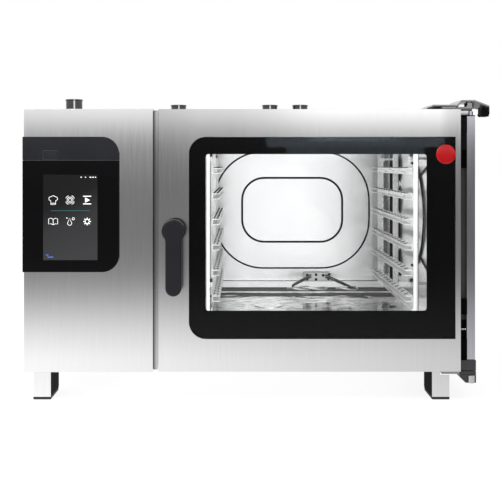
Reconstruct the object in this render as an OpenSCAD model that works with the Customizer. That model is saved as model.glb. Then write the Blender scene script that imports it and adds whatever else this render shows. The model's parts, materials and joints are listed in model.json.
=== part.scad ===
// Table-top combi steamer oven: seven levels, control column on the left,
// door on the right that swings open and then slides back along the casing.
// Frame: +X right, +Y rear, +Z up, origin on the table under the machine's middle.
// Each module draws in the casing's corner frame: X from the column's left edge,
// Y from the front face, Z from the table. in_casing() moves that to the origin.

/* [Casing] */
// Width from the column's left edge to the door's right edge
case_w = 1120; // [1118:1:1122]
// Depth from the front face to the back of the rear panel
case_d = 905; // [900:1:910]
// Height of the casing's underside above the table
base_z = 75; // [74:0.5:76]
// Height of the casing's top
top_z = 750; // [749:0.5:752]
// Width of the control column
column_w = 330.5; // [326:0.5:332]
// Width of the slit between the column and the door
gutter_w = 13.5; // [12:0.5:16]
// Distance from the front face to the frame that the door closes against
frame_y = 70; // [70:0.5:72]
// How far the cabinet's right side stands inside the door's right edge
side_inset = 20; // [20:1:22]
// Thickness of the casing sheets
sheet_t = 1.5; // [1:0.5:2]

/* [Controls] */
// Width of the black control panel
bezel_w = 245; // [238:1:252]
// Lower edge of the control panel
bezel_z0 = 332; // [325:1:340]
// Upper edge of the control panel
bezel_z1 = 678.5; // [670:0.5:684]
// Corner radius of the control panel and of the door glass
big_r = 44; // [36:1:50]
// How far the control panel wraps past the column's left edge
bezel_wrap = 2.6; // [2:0.2:4]
// Thickness of the control panel in front of the column
bezel_t = 6; // [5:0.5:8]
// Lower left corner of the display, X and Z
display_lo = [50.5, 363]; // [0:0.5:600]
// Upper right corner of the display, X and Z
display_hi = [189.5, 581]; // [0:0.5:600]
// Lower left corner of the service port flap, X and Z
flap_lo = [51, 622]; // [0:1:700]
// Upper right corner of the service port flap, X and Z
flap_hi = [87, 642]; // [0:1:700]

/* [Door] */
// Thickness of the door
door_t = 62; // [60:0.5:62]
// Steel strip left of the door glass, which carries the handle
strip_left = 79; // [76:1:82]
// Steel strip right of the door glass
strip_right = 13.5; // [12:0.5:16]
// Steel strip under the door glass
strip_bottom = 84; // [80:1:90]
// Steel strip over the door glass
strip_top = 71; // [68:0.5:76]
// Black border left of the window
border_left = 42.5; // [40:0.5:45]
// Black border right of the window
border_right = 73.5; // [68:0.5:78]
// Black border under the window
border_bottom = 72; // [66:1:76]
// Black border over the window
border_top = 44.5; // [40:0.5:48]
// Corner radius of the window
window_r = 8; // [5:0.5:12]

/* [Handle] */
// Distance from the door's left edge to the handle's spindle
handle_inset = 42.5; // [40:0.5:45]
// Height of the handle's spindle
handle_z = 440; // [430:1:450]
// Radius of the handle's hub
hub_r = 29.5; // [27:0.5:30]
// Width of the handle's lever
lever_w = 40; // [36:1:44]
// Distance from the spindle to the lever's end
lever_len = 164; // [156:1:172]
// How far the lever stands in front of the door
lever_out = 57; // [50:1:60]
// Radius of the handle's spindle
spindle_r = 9; // [8:0.5:10]

/* [Hinge] */
// Distance from the door's right edge to the hinge axis
hinge_out = 26; // [26:0.5:28]
// Distance from the front face to the hinge axis
hinge_y = 24; // [23:0.5:25]
// Radius of the hinge pins
pin_r = 8; // [7:0.5:9]
// Radius of the guide shoes
shoe_r = 8.6; // [8:0.1:8.7]
// How far the door slides back
slide_len = 650; // [600:10:650]

/* [Cooking chamber] */
// Lowest corner of the cooking chamber
cavity_lo = [395, 71.5, 176]; // [0:0.5:600]
// Highest corner of the cooking chamber
cavity_hi = [1062, 803, 690]; // [0:1:1200]
// Thickness of the insulation
wool_t = 35; // [32:1:36]
// Number of shelf levels
levels = 7; // [5:1:7]
// Height of the lowest shelf
level_z = 250; // [246:1:254]
// Distance between two shelves
level_pitch = 68; // [64:1:68]
// Width of a GN 2/1 tray
tray_w = 530; // [530:1:532]
// X of the suction panel's face
suction_x = 452; // [449:1:455]
// Radius of the fan wheel
fan_r = 150; // [130:1:155]
// Y of the fan's axis
fan_y = 440; // [430:1:450]
// Z of the fan's axis
fan_z = 430; // [420:1:440]

/* [Pipes] */
// Outer radius of the pipes on the top
pipe_r = 22.5; // [20:0.5:24]
// Height of the pipes' tops
pipe_top = 786; // [770:1:800]
// X and Y of each pipe on the top
pipe_xy = [[97, 183], [368, 434], [643, 434], [734, 434]]; // [0:1:1100]
// Outer radius of the drain pipe
drain_r = 25; // [25:0.5:26]
// How far the rear fittings stand out behind the casing
rear_out = 30; // [25:1:35]

/* [Feet] */
// Width of a foot
foot_w = 45; // [42:1:48]
// Depth of a foot
foot_d = 110; // [100:1:120]
// Thickness of a foot's sheet
foot_t = 3; // [2:0.5:4]
// Height of the black pads
pad_h = 5; // [4:0.5:6]
// X of the left edges of the left and the right feet
foot_x = [20, 1050]; // [0:1:1100]
// Y of the front edges of the front and the rear feet
foot_y = [20, 770]; // [0:1:900]

/* [Hidden] */
$fn = 48;

// Small extra length of a cutting shape
eps = 0.5;
// Radial play of a pin in its bore
play = 0.06;
// Gap left at a weld seam between two sheets of one sub-part
seam = 0.1;
// Door: edges in X and Z
door_x0 = column_w + gutter_w;
door_x1 = case_w;
door_z0 = base_z + 1;
door_z1 = top_z - 0.5;
// Right side of the cabinet and the hinge axis
cabinet_x1 = case_w - side_inset;
hinge_x = case_w + hinge_out;
// Door glass and window: lower left and upper right corners, X and Z
glass_lo = [door_x0 + strip_left, door_z0 + strip_bottom];
glass_hi = [door_x1 - strip_right, door_z1 - strip_top];
window_lo = glass_lo + [border_left, border_bottom];
window_hi = glass_hi - [border_right, border_top];
// Opening that the door closes, and the pane behind it
mouth_lo = [440, cavity_lo[2] + 2];
mouth_hi = [1050, cavity_hi[2] - 2];
pane_lo = mouth_lo - [28, 26];
pane_hi = mouth_hi + [28, 25];
pane_y = door_t - 6;
// Handle's spindle and the latch tongue on its inner end
handle_x = door_x0 + handle_inset;
tongue_y = door_t + 1;
tongue_t = 5.5;
tongue_len = 34;
// Swing arms: the top one lies over the door, the bottom one under it
arm_left = 1074;
arm_t = 5;
top_arm_z = door_z1 + 1.5;
bottom_arm_z = door_z0 - 3 - arm_t;
shoe_x = 1090;
// Channel in the door's edges that the guide shoes run in
channel_w = 18;
channel_wall = 3;
channel_h = 22;
channel_x0 = shoe_x - slide_len - 30;
// Fixed hinge plates and rails
bracket_t = 4;
bracket_y0 = 4;
bracket_y1 = 130;
under_y = [134, 190];
bracket_top = 773;
rail_x = 1180;
rail_t = 3;
rail_y1 = 760;
seat_x = [1048, 1096];
// Racks: the tray's edges run in channels, whose webs are tray_w + 4 apart
rack_mid = 746;
rack_web = tray_w / 2 + 2;
rack_deep = 20;
rack_y = [95, 745];
rack_z = [215, 672];
rail_h = 15;
stud_y = [150, 690];
stud_z = [284, 624];
stud_r = 4;
// Rear fittings
rear_end = case_d + rear_out;
drain_xz = [640, 107];
inlet_x = [240, 290];
inlet_z = 150;
inlet_r = 13.2;
gland_xz = [350, 130];
gland_r = 9;
drain_hole = [640, 470];
steam_yz = [690, 300];
// Column fan in the rear panel
small_fan = [120, 620];
small_fan_r = 54;
small_fan_y = 865;
// Whole machine: the origin is under the middle of this box
hook_x1 = hinge_x + 65;
origin_x = (hook_x1 - bezel_wrap) / 2;
origin_y = (rear_end - lever_out) / 2;

// Moves the casing's corner frame to the machine's origin
module in_casing() {
    translate([-origin_x, -origin_y, 0]) children();
}

// Box between its lowest and its highest corner
module block(lo, hi) {
    translate(lo) cube(hi - lo);
}

// Plan or front outline between two corners, from lo to hi
module rect(lo, hi) {
    translate(lo) square(hi - lo);
}

// Rectangle with one radius for its left corners and one for its right corners
module rounded(lo, hi, r_left, r_right) {
    translate([lo[0] + r_left, lo[1]])
        square([hi[0] - lo[0] - r_left - r_right, hi[1] - lo[1]]);
    if (r_left > 0) {
        rect([lo[0], lo[1] + r_left], [lo[0] + r_left + eps, hi[1] - r_left]);
        for (z = [lo[1] + r_left, hi[1] - r_left])
            translate([lo[0] + r_left, z]) circle(r_left);
    }
    if (r_right > 0) {
        rect([hi[0] - r_right - eps, lo[1] + r_right], [hi[0], hi[1] - r_right]);
        for (z = [lo[1] + r_right, hi[1] - r_right])
            translate([hi[0] - r_right, z]) circle(r_right);
    }
}

// Outline drawn in X and Z, made solid from y0 back to y1
module front_plate(y0, y1) {
    translate([0, y1, 0]) rotate([90, 0, 0]) linear_extrude(y1 - y0) children();
}

// Outline drawn in Y and Z, made solid from x0 to x1
module side_plate(x0, x1) {
    translate([x0, 0, 0]) rotate([90, 0, 90]) linear_extrude(x1 - x0) children();
}

// Round bars along X, Y and Z
module rod_x(y, z, r, x0, x1) {
    translate([x0, y, z]) rotate([0, 90, 0]) cylinder(h = x1 - x0, r = r);
}
module rod_y(x, z, r, y0, y1) {
    translate([x, y0, z]) rotate([-90, 0, 0]) cylinder(h = y1 - y0, r = r);
}
module rod_z(x, y, r, z0, z1) {
    translate([x, y, z0]) cylinder(h = z1 - z0, r = r);
}

// Plan of the casing: the column stands further forward than the cabinet
module casing_plan(inset) {
    polygon([
        [inset, inset], [column_w - inset, inset],
        [column_w - inset, frame_y + inset], [cabinet_x1 - inset, frame_y + inset],
        [cabinet_x1 - inset, case_d - inset], [inset, case_d - inset]
    ]);
}

// ---- Casing ----

// Floor of the casing with an upright lip and air slots under the column
module base_tray() {
    lip_h = 6;
    slot_count = 8;
    color("lightgray") in_casing() difference() {
        translate([0, 0, base_z]) linear_extrude(lip_h) casing_plan(sheet_t);
        translate([0, 0, base_z + sheet_t]) linear_extrude(lip_h) casing_plan(2 * sheet_t);
        for (i = [0 : slot_count - 1])
            block([70, 180 + 20 * i, base_z - eps], [200, 188 + 20 * i, base_z + 2 * sheet_t]);
    }
}

// Folded sheet foot: front face, side cheek, base, and a top flange behind the door.
// notch is the X range of the front face that stays clear of the bottom swing arm.
module foot(x, y, inner_side, notch) {
    cheek_x = inner_side > 0 ? x + foot_w - foot_t : x;
    flange_y = y < frame_y ? frame_y - 4 : y;
    rear_slope = 6;
    in_casing() difference() {
        union() {
            block([x, y, pad_h], [x + foot_w, y + foot_t, base_z]);
            side_plate(cheek_x, cheek_x + foot_t)
                polygon([[y, pad_h], [y + foot_d - rear_slope, pad_h],
                    [y + foot_d, pad_h + rear_slope], [y + foot_d, base_z], [y, base_z]]);
            block([x, flange_y, base_z - foot_t], [x + foot_w, y + foot_d, base_z]);
            block([x, y, pad_h], [x + foot_w, y + foot_d - rear_slope, pad_h + foot_t]);
        }
        if (notch[1] > notch[0])
            block([notch[0], y - 1, bottom_arm_z - 5], [notch[1], flange_y - 1, base_z + 1]);
        rod_z(x + foot_w / 2, y + 92, 4.5, base_z - 10, base_z + 1);
        rod_z(x + foot_w / 2, y + 45, 5.5, pad_h - 1, pad_h + foot_t + 1);
    }
}
module front_left_foot() { color("silver") foot(foot_x[0], foot_y[0], 1, [0, 0]); }
module front_right_foot() {
    color("silver") foot(foot_x[1], foot_y[0], -1, [arm_left - 3, foot_x[1] + foot_w + 1]);
}
module rear_left_foot() { color("silver") foot(foot_x[0], foot_y[1], 1, [0, 0]); }
module rear_right_foot() { color("silver") foot(foot_x[1], foot_y[1], -1, [0, 0]); }

// Black pads under the four feet, each with the foot's fixing hole
module foot_pads() {
    pad_d = 98;
    color("black") in_casing() for (x = foot_x, y = foot_y) difference() {
        block([x + 1, y + 1, 0], [x + foot_w - 1, y + pad_d, pad_h]);
        rod_z(x + foot_w / 2, y + 45, 5.5, -1, pad_h + 1);
    }
}

module left_side_panel() {
    color("silver") in_casing()
        block([0, sheet_t, base_z], [sheet_t, case_d - sheet_t, top_z - sheet_t]);
}

module right_side_panel() {
    color("silver") in_casing()
        block([cabinet_x1 - sheet_t, frame_y + sheet_t, base_z],
            [cabinet_x1, case_d - sheet_t, top_z - sheet_t]);
}

// Rear sheet: louvres, the column fan's opening and the holes of the fittings
module rear_panel() {
    louvre_rows = 12;
    color("silver") in_casing() difference() {
        block([0, case_d - sheet_t, base_z], [cabinet_x1, case_d, top_z - sheet_t]);
        for (row = [0 : louvre_rows - 1], x = [40, 180])
            block([x, case_d - 5, 240 + 20 * row], [x + 100, case_d + 5, 246 + 20 * row]);
        rod_y(small_fan[0], small_fan[1], small_fan_r, case_d - 5, case_d + 5);
        rod_y(drain_xz[0], drain_xz[1], drain_r - 0.5, case_d - 5, case_d + 5);
        for (x = inlet_x) rod_y(x, inlet_z, inlet_r + 0.5, case_d - 5, case_d + 5);
        rod_y(gland_xz[0], gland_xz[1], 12.4, case_d - 5, case_d + 5);
    }
}

module top_cover() {
    color("silver") in_casing()
        translate([0, 0, top_z - sheet_t]) linear_extrude(sheet_t) difference() {
            casing_plan(0);
            translate([-1, -1]) square([column_w + 2, sheet_t + 1]);
            for (p = pipe_xy) translate(p) circle(pipe_r + 0.3);
        }
}

// Front of the column: a pan with a returned right side and a cut-out for the controls
module column_front_panel() {
    color("gainsboro") in_casing() {
        difference() {
            block([0, 0, base_z], [column_w, sheet_t, top_z]);
            block([30, -1, bezel_z0 + 28], [230, 3, 600]);
        }
        block([column_w - sheet_t, sheet_t + seam, base_z], [column_w, frame_y, top_z - sheet_t]);
    }
}

// Sheet that the door closes against, with the mouth of the cooking chamber
module cabinet_front_frame() {
    color("gainsboro") in_casing() front_plate(frame_y, frame_y + sheet_t) difference() {
        rect([column_w, base_z], [cabinet_x1, top_z - sheet_t]);
        rounded(mouth_lo, mouth_hi, 20, 20);
    }
}

module gutter_strip() {
    color("gainsboro") in_casing()
        block([column_w + 0.5, 8, base_z + 5], [door_x0 - 1.5, frame_y, top_z - 5]);
}

// ---- Controls ----

// Outline of the black control panel
module bezel_outline() {
    rounded([-bezel_wrap, bezel_z0], [bezel_w, bezel_z1], 0, big_r);
}

// Height of the joint between the display field and the service strip
seam_z = 618;

// Glossy panel with the display's pocket, the wrap round the column and its rear case
module control_bezel() {
    pocket = 2;
    color([0.07, 0.07, 0.08]) in_casing() difference() {
        union() {
            front_plate(-bezel_t, 0) intersection() {
                bezel_outline();
                rect([-50, 0], [400, seam_z]);
            }
            block([-bezel_wrap, 0, bezel_z0], [0, 25, seam_z]);
            block([32, 0, bezel_z0 + 30], [228, 45, 598]);
        }
        block([display_lo[0], -bezel_t - 1, display_lo[1]],
            [display_hi[0], pocket - bezel_t, display_hi[1]]);
    }
}

// Upper part of the control panel, over the service port
module service_strip() {
    color([0.17, 0.17, 0.2]) in_casing() {
        front_plate(-bezel_t, 0) intersection() {
            bezel_outline();
            rect([-50, seam_z + 0.4], [400, bezel_z1]);
        }
        block([-bezel_wrap, 0, seam_z + 0.4], [0, 25, bezel_z1]);
    }
}

module display_glass() {
    color([0.2, 0.2, 0.22]) in_casing()
        block([display_lo[0], -bezel_t - 0.4, display_lo[1]],
            [display_hi[0], 2 - bezel_t, display_hi[1]]);
}

// Flap over the service port, with its hinge barrel on the left
module port_flap() {
    flap_t = 1.8;
    barrel_r = flap_t / 2;
    back = -bezel_t - 0.3;
    color([0.14, 0.14, 0.16]) in_casing() {
        block([flap_lo[0] + barrel_r, back - flap_t, flap_lo[1]],
            [flap_hi[0], back, flap_hi[1]]);
        rod_z(flap_lo[0] + barrel_r, back - barrel_r, barrel_r, flap_lo[1], flap_hi[1]);
    }
}

// ---- Cooking chamber ----

// Steel chamber of five welded sheets, open at the front, with two pressed beads
// and a step along the foot of its rear wall
module cavity_shell() {
    bead_w = 4;
    bead_t = 1.5;
    step = [20, 40];
    lo = cavity_lo;
    hi = cavity_hi;
    color("whitesmoke") in_casing() {
        difference() {
            block([lo[0] - sheet_t, lo[1], lo[2] - sheet_t], [hi[0] + sheet_t, hi[1] + sheet_t, lo[2]]);
            rod_z(drain_hole[0], drain_hole[1], 36.3, lo[2] - 5, lo[2] + 5);
        }
        difference() {
            block([lo[0] - sheet_t, lo[1], hi[2]],
                [hi[0] + sheet_t, hi[1] + sheet_t, hi[2] + sheet_t]);
            for (i = [2, 3])
                rod_z(pipe_xy[i][0], pipe_xy[i][1], pipe_r - 2, hi[2] - 5, hi[2] + 5);
        }
        difference() {
            block([lo[0] - sheet_t, lo[1], lo[2] + seam],
                [lo[0], hi[1] + sheet_t, hi[2] - seam]);
            rod_x(fan_y, fan_z, 12, lo[0] - 5, lo[0] + 5);
            for (dy = [-12, 12])
                rod_x(fan_y + dy, fan_z - 185, 5.5, lo[0] - 5, lo[0] + 5);
            rod_x(steam_yz[0], steam_yz[1], 14.3, lo[0] - 5, lo[0] + 5);
        }
        block([hi[0], lo[1], lo[2] + seam], [hi[0] + sheet_t, hi[1] + sheet_t, hi[2] - seam]);
        block([lo[0] + seam, hi[1], lo[2] + seam],
            [hi[0] - seam, hi[1] + sheet_t, hi[2] - seam]);
        block([lo[0] + seam, hi[1] - step[0], lo[2] + seam],
            [hi[0] - seam, hi[1], lo[2] + step[1]]);
        rear_bead([467, 255], [993, 652], 165, bead_w, bead_t);
        rear_bead([559, 344], [902, 563], 77, bead_w, bead_t);
    }
}

// Raised line round a rounded field on the rear wall
module rear_bead(lo, hi, r, w, t) {
    front_plate(cavity_hi[1] - t, cavity_hi[1] + 0.2) difference() {
        rounded(lo, hi, r, r);
        rounded(lo + [w, w], hi - [w, w], r - w, r - w);
    }
}

// Mineral wool jacket round the chamber
module insulation() {
    lo = cavity_lo - [sheet_t, 0, sheet_t];
    hi = cavity_hi + [sheet_t, sheet_t, sheet_t];
    color("khaki") in_casing() difference() {
        block(lo - [wool_t, 0, wool_t], [hi[0] + wool_t - 1.5, hi[1] + 55, hi[2] + wool_t]);
        block(lo - [0, 5, 0], hi);
        rod_x(fan_y, fan_z, 14, lo[0] - wool_t - 5, lo[0] + 5);
        for (dy = [-12, 12])
            rod_x(fan_y + dy, fan_z - 185, 5.5, lo[0] - wool_t - 5, lo[0] + 5);
        rod_x(steam_yz[0], steam_yz[1], 14.3, lo[0] - wool_t - 5, lo[0] + 5);
        rod_z(drain_hole[0], drain_hole[1], 36, lo[2] - wool_t - 5, lo[2] + 5);
        for (i = [2, 3])
            rod_z(pipe_xy[i][0], pipe_xy[i][1], pipe_r + 0.3, hi[2] - 5, hi[2] + wool_t + 5);
    }
}

// Panel between the fan and the trays: round intake grille, air slots at both ends
module suction_panel() {
    y0 = cavity_lo[1] + 20;
    y1 = cavity_hi[1] - 25;
    z0 = cavity_lo[2] + 6;
    z1 = cavity_hi[2] - 6;
    slot_h = 56;
    color("whitesmoke") in_casing() {
        side_plate(suction_x - 2, suction_x) difference() {
            rect([y0, z0], [y1, z1]);
            for (r = [34 : 18 : 106]) difference() {
                translate([fan_y, fan_z]) circle(r + 10);
                translate([fan_y, fan_z]) circle(r);
                translate([fan_y, fan_z]) square([8, 400], center = true);
                translate([fan_y, fan_z]) square([400, 8], center = true);
            }
            for (y = [y0 + 22, y0 + 48, y1 - 60, y1 - 34], i = [0 : 5])
                translate([y, z0 + 40 + i * 74]) square([12, slot_h]);
        }
        // Edges folded back to the chamber's left wall
        for (y = [y0, y1 - 2])
            block([cavity_lo[0] + 0.2, y, z0], [suction_x - 2 - seam, y + 2, z1]);
    }
}

// Radial fan wheel with its hub and shaft
module fan_wheel() {
    blade_count = 12;
    back_x = 410;
    front_x = 444;
    color("silver") in_casing() {
        rod_x(fan_y, fan_z, spindle_r, 190, back_x + 20);
        rod_x(fan_y, fan_z, 28, back_x - 8, back_x + 14);
        rod_x(fan_y, fan_z, fan_r, back_x, back_x + 2);
        difference() {
            rod_x(fan_y, fan_z, fan_r, front_x - 2, front_x);
            rod_x(fan_y, fan_z, fan_r - 40, front_x - 3, front_x + 1);
        }
        for (i = [0 : blade_count - 1])
            translate([0, fan_y, fan_z]) rotate([360 / blade_count * i, 0, 0])
                block([back_x + 2, -1, 85], [front_x - 2, 1, fan_r - 4]);
    }
}

// Fan motor with its square flange, bored for the shaft
module fan_motor() {
    flange_x = cavity_lo[0] - sheet_t - wool_t - 12;
    color("dimgray") in_casing() difference() {
        union() {
            rod_x(fan_y, fan_z, 62, 200, flange_x);
            block([flange_x, fan_y - 85, fan_z - 85], [flange_x + 12, fan_y + 85, fan_z + 85]);
            block([240, fan_y - 30, fan_z + 50], [310, fan_y + 30, fan_z + 85]);
        }
        rod_x(fan_y, fan_z, spindle_r + play, 150, flange_x + 20);
    }
}

// Three heating rings round the fan wheel, with two ends through the chamber wall
module ring_heater() {
    ring_r = 185;
    tube_r = 4.5;
    color("dimgray") in_casing() {
        for (x = [414, 427, 440])
            translate([x, fan_y, fan_z]) rotate([0, 90, 0])
                rotate_extrude() translate([ring_r, 0]) circle(tube_r);
        for (dy = [-12, 12])
            rod_x(fan_y + dy, fan_z - ring_r, tube_r, 340, 440);
    }
}

// ---- Column ----

// Steam vessel on four legs, with its heater head on top and its outlet on the right
module steam_generator() {
    x = 110;
    y = steam_yz[0];
    wall = 3;
    color("lightsteelblue") in_casing() difference() {
        union() {
            rod_z(x, y, 68, 110, 390);
            for (z = [100, 390]) rod_z(x, y, 78, z, z + 10);
            rod_z(x, y, 12, 400, 440);
            rod_x(y, steam_yz[1], 19, x + 40, x + 95);
            for (dx = [-50, 50], dy = [-50, 50])
                rod_z(x + dx, y + dy, 6, base_z + sheet_t, 102);
        }
        rod_z(x, y, 68 - wall, 110 + wall, 390 - wall);
        rod_x(y, steam_yz[1], 12, x, x + 96);
    }
}

module steam_pipe() {
    color("silver") in_casing() difference() {
        rod_x(steam_yz[0], steam_yz[1], 14, 205, cavity_lo[0]);
        rod_x(steam_yz[0], steam_yz[1], 12, 204, cavity_lo[0] + 1);
    }
}

module control_board() {
    color("seagreen") in_casing() {
        block([20, 90, 150], [22, 300, 470]);
        for (i = [0 : 3]) block([22, 105 + 45 * i, 380], [44, 140 + 45 * i, 440]);
        block([22, 110, 180], [60, 190, 330]);
        block([22, 210, 200], [36, 280, 260]);
    }
}

// Row of contactors and terminals on a rail
module contactor_block() {
    color("dimgray") in_casing() {
        block([20, 340, 250], [24, 560, 285]);
        for (i = [0 : 3]) block([24, 345 + 50 * i, 225], [95, 390 + 50 * i, 310]);
        block([20, 340, 150], [60, 560, 190]);
    }
}

// Square frame of the column's cooling fan, with struts and the bearing pin
module cooling_fan_housing() {
    half = 60;
    x = small_fan[0];
    z = small_fan[1];
    color([0.12, 0.12, 0.13]) in_casing() {
        difference() {
            block([x - half, small_fan_y, z - half], [x + half, case_d - sheet_t, z + half]);
            rod_y(x, z, small_fan_r + 2, small_fan_y - 1, case_d);
        }
        for (a = [0 : 120 : 240])
            translate([x, 0, z]) rotate([0, a, 0])
                block([-4, small_fan_y, 10], [4, small_fan_y + 4, small_fan_r + 4]);
        rod_y(x, z, 20, small_fan_y, small_fan_y + 10);
        rod_y(x, z, 3, small_fan_y + 10, small_fan_y + 32);
    }
}

// Impeller of the column's cooling fan
module cooling_fan() {
    blade_count = 7;
    y0 = small_fan_y + 11;
    color([0.16, 0.16, 0.17]) in_casing() translate([small_fan[0], 0, small_fan[1]]) difference() {
        union() {
            rod_y(0, 0, 20, y0, y0 + 22);
            for (i = [0 : blade_count - 1])
                rotate([0, 360 / blade_count * i, 0]) translate([0, y0 + 12, 18])
                    rotate([0, 0, 35]) cube([26, 2, 66], center = true);
        }
        rod_y(0, 0, 3 + play, y0 - 1, y0 + 23);
        // Blades end at the housing's bore
        difference() {
            rod_y(0, 0, 90, y0 - 20, y0 + 40);
            rod_y(0, 0, small_fan_r - 2, y0 - 21, y0 + 41);
        }
    }
}

// Two solenoid valves on one base block
module water_valves() {
    color("slategray") in_casing() {
        block([222, 790, inlet_z - 28], [308, 850, inlet_z + 22]);
        for (x = inlet_x) rod_z(x, 815, 16, inlet_z + 22, inlet_z + 70);
        block([222, 790, base_z + sheet_t], [308, 820, inlet_z - 28]);
    }
}

// Threaded water connections with their nuts on the rear panel
module water_inlets() {
    color("goldenrod") in_casing() for (x = inlet_x) {
        difference() {
            rod_y(x, inlet_z, inlet_r, 850, rear_end - 5);
            rod_y(x, inlet_z, 9, 849, rear_end);
        }
        difference() {
            translate([x, case_d, inlet_z]) rotate([-90, 0, 0]) cylinder(h = 7, r = 20, $fn = 6);
            rod_y(x, inlet_z, inlet_r, case_d - 1, case_d + 8);
        }
    }
}

// Condensate box under the chamber with its inlet neck
module drain_box() {
    neck_top = cavity_lo[2] - sheet_t;
    color("silver") in_casing() difference() {
        union() {
            block([570, 420, 80], [710, 820, 134]);
            rod_z(drain_hole[0], drain_hole[1], 35, 130, neck_top);
        }
        rod_z(drain_hole[0], drain_hole[1], 32, 100, neck_top + 1);
        block([573, 423, 83], [707, 817, 131]);
        rod_y(drain_xz[0], drain_xz[1], drain_r - 2.5, 800, 821);
    }
}

module drain_pipe() {
    color("darkgray") in_casing() difference() {
        union() {
            rod_y(drain_xz[0], drain_xz[1], drain_r - 1, 820, case_d);
            rod_y(drain_xz[0], drain_xz[1], drain_r, case_d, rear_end);
        }
        rod_y(drain_xz[0], drain_xz[1], drain_r - 2.5, 819, rear_end + 1);
    }
}

// Round sieve in the chamber's floor
module drain_grate() {
    color("silver") in_casing() difference() {
        union() {
            rod_z(drain_hole[0], drain_hole[1], 36, cavity_lo[2] - sheet_t, cavity_lo[2]);
            rod_z(drain_hole[0], drain_hole[1], 42, cavity_lo[2], cavity_lo[2] + 2);
        }
        for (i = [-3 : 3])
            block([drain_hole[0] - 22, drain_hole[1] + 8 * i - 2, cavity_lo[2] - 5],
                [drain_hole[0] + 22, drain_hole[1] + 8 * i + 2, cavity_lo[2] + 5]);
    }
}

// Open pipes on the top: column vent, safety vent, air inlet and steam outlet
module vent_pipes() {
    wall = 2;
    chamber_top = cavity_hi[2] + sheet_t;
    foot_of_pipe = [700, chamber_top + wool_t + 0.5, chamber_top, chamber_top];
    color("silver") in_casing() for (i = [0 : 3]) difference() {
        rod_z(pipe_xy[i][0], pipe_xy[i][1], pipe_r, foot_of_pipe[i], pipe_top);
        rod_z(pipe_xy[i][0], pipe_xy[i][1], pipe_r - wall, foot_of_pipe[i] - 1, pipe_top + 1);
    }
}

// ---- Racks ----

// Studs that carry the racks, on the suction panel and on the chamber's right wall
module rack_studs() {
    left_end = rack_mid - rack_web - 3;
    right_end = rack_mid + rack_web + 3;
    color("silver") in_casing() for (y = stud_y, z = stud_z) {
        rod_x(y, z, stud_r, suction_x, left_end);
        rod_x(y, z, stud_r, right_end, cavity_hi[0]);
    }
}

// One rack: posts, a U-shaped runner at each level and hooks over the studs.
// It is drawn for the right side, with u counted outwards from the tray's middle.
module rack(side) {
    u0 = rack_web - rack_deep;
    hook_w = 20;
    post_t = 3;
    post_w = 16;
    in_casing() translate([rack_mid, 0, 0]) mirror([side > 0 ? 0 : 1, 0, 0]) {
        for (y = [rack_y[0], (rack_y[0] + rack_y[1]) / 2, rack_y[1] - post_t])
            block([rack_web - 1, y, rack_z[0]], [rack_web + post_w, y + post_t, rack_z[1]]);
        for (i = [0 : levels - 1]) runner(u0, level_z + i * level_pitch);
        for (z = [rack_z[0] + 2, rack_z[1] - 8])
            block([rack_web - 1, rack_y[0], z], [rack_web + 2, rack_y[1], z + 6]);
        for (y = stud_y, z = stud_z) difference() {
            block([rack_web, y - hook_w / 2, z - 8], [rack_web + 12, y + hook_w / 2, z + 14]);
            block([rack_web - 1, y - stud_r - 0.4, z - 9],
                [rack_web + 13, y + stud_r + 0.4, z + stud_r]);
        }
    }
}

// U-shaped runner that a tray's edge slides in
module runner(u0, z) {
    t = 1.5;
    difference() {
        block([u0, rack_y[0], z - rail_h / 2], [rack_web, rack_y[1], z + rail_h / 2]);
        block([u0 - 1, rack_y[0] - 1, z - rail_h / 2 + t],
            [rack_web - t, rack_y[1] + 1, z + rail_h / 2 - t]);
    }
}
module rack_left() { color("whitesmoke") rack(-1); }
module rack_right() { color("whitesmoke") rack(1); }

// Clip plate on the rear step with two rods that hold flat wire loops
module rear_rod_bracket() {
    face = cavity_hi[1] - 20;
    color("dimgray") in_casing() {
        block([771, face - 6, 208], [861, face, 216]);
        front_plate(face - 3, face) rect([780, 190], [852, 240]);
        for (x = [790, 842]) rod_y(x, 224, 5, face - 14, face - 3);
        for (x = [796, 836]) rod_y(x, 212, 3, face - 200, face - 6);
        for (y = [face - 200, face - 120, face - 60])
            rod_x(y, 212, 2.5, 700, 930);
    }
}

// ---- Door seal and latch on the cabinet ----

module door_gasket() {
    color([0.1, 0.1, 0.1]) in_casing() front_plate(door_t + 0.4, frame_y) difference() {
        rounded(mouth_lo - [16, 16], mouth_hi + [16, 16], 30, 30);
        rounded(mouth_lo - [2, 2], mouth_hi + [2, 2], 20, 20);
    }
}

// Stop that the latch tongue turns against, open towards the front
module latch_striker() {
    tip_z = handle_z - tongue_len;
    color("silver") in_casing() {
        block([handle_x + 9, tongue_y, tip_z - 6], [handle_x + 20, frame_y, tip_z + 24]);
        block([handle_x - 8, frame_y - 1, tip_z - 30], [handle_x + 20, frame_y, tip_z - 6]);
    }
}

// ---- Fixed hinge plates and side rails ----

// Bent plate over the hinge: it carries the top pin and slopes out over the door's way
module top_hinge_bracket() {
    flat_z = bracket_top - bracket_t;
    low_z = top_arm_z + arm_t + 1;
    color("lightgray") in_casing() difference() {
        union() {
            front_plate(bracket_y0, bracket_y1) polygon([
                [seat_x[0], low_z + bracket_t], [hinge_x - 35, low_z + bracket_t],
                [hinge_x - 23, bracket_top], [hinge_x + 11, bracket_top],
                [hinge_x + 48, low_z + 2], [hinge_x + 46.5, low_z - 1.5],
                [hinge_x + 10, flat_z], [hinge_x - 21, flat_z],
                [hinge_x - 33, low_z], [seat_x[0], low_z]
            ]);
            block([seat_x[0], frame_y + 6, top_z], [seat_x[1], bracket_y1, low_z]);
        }
        rod_z(hinge_x, hinge_y, pin_r + play, flat_z - 5, bracket_top + 1);
    }
}

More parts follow.
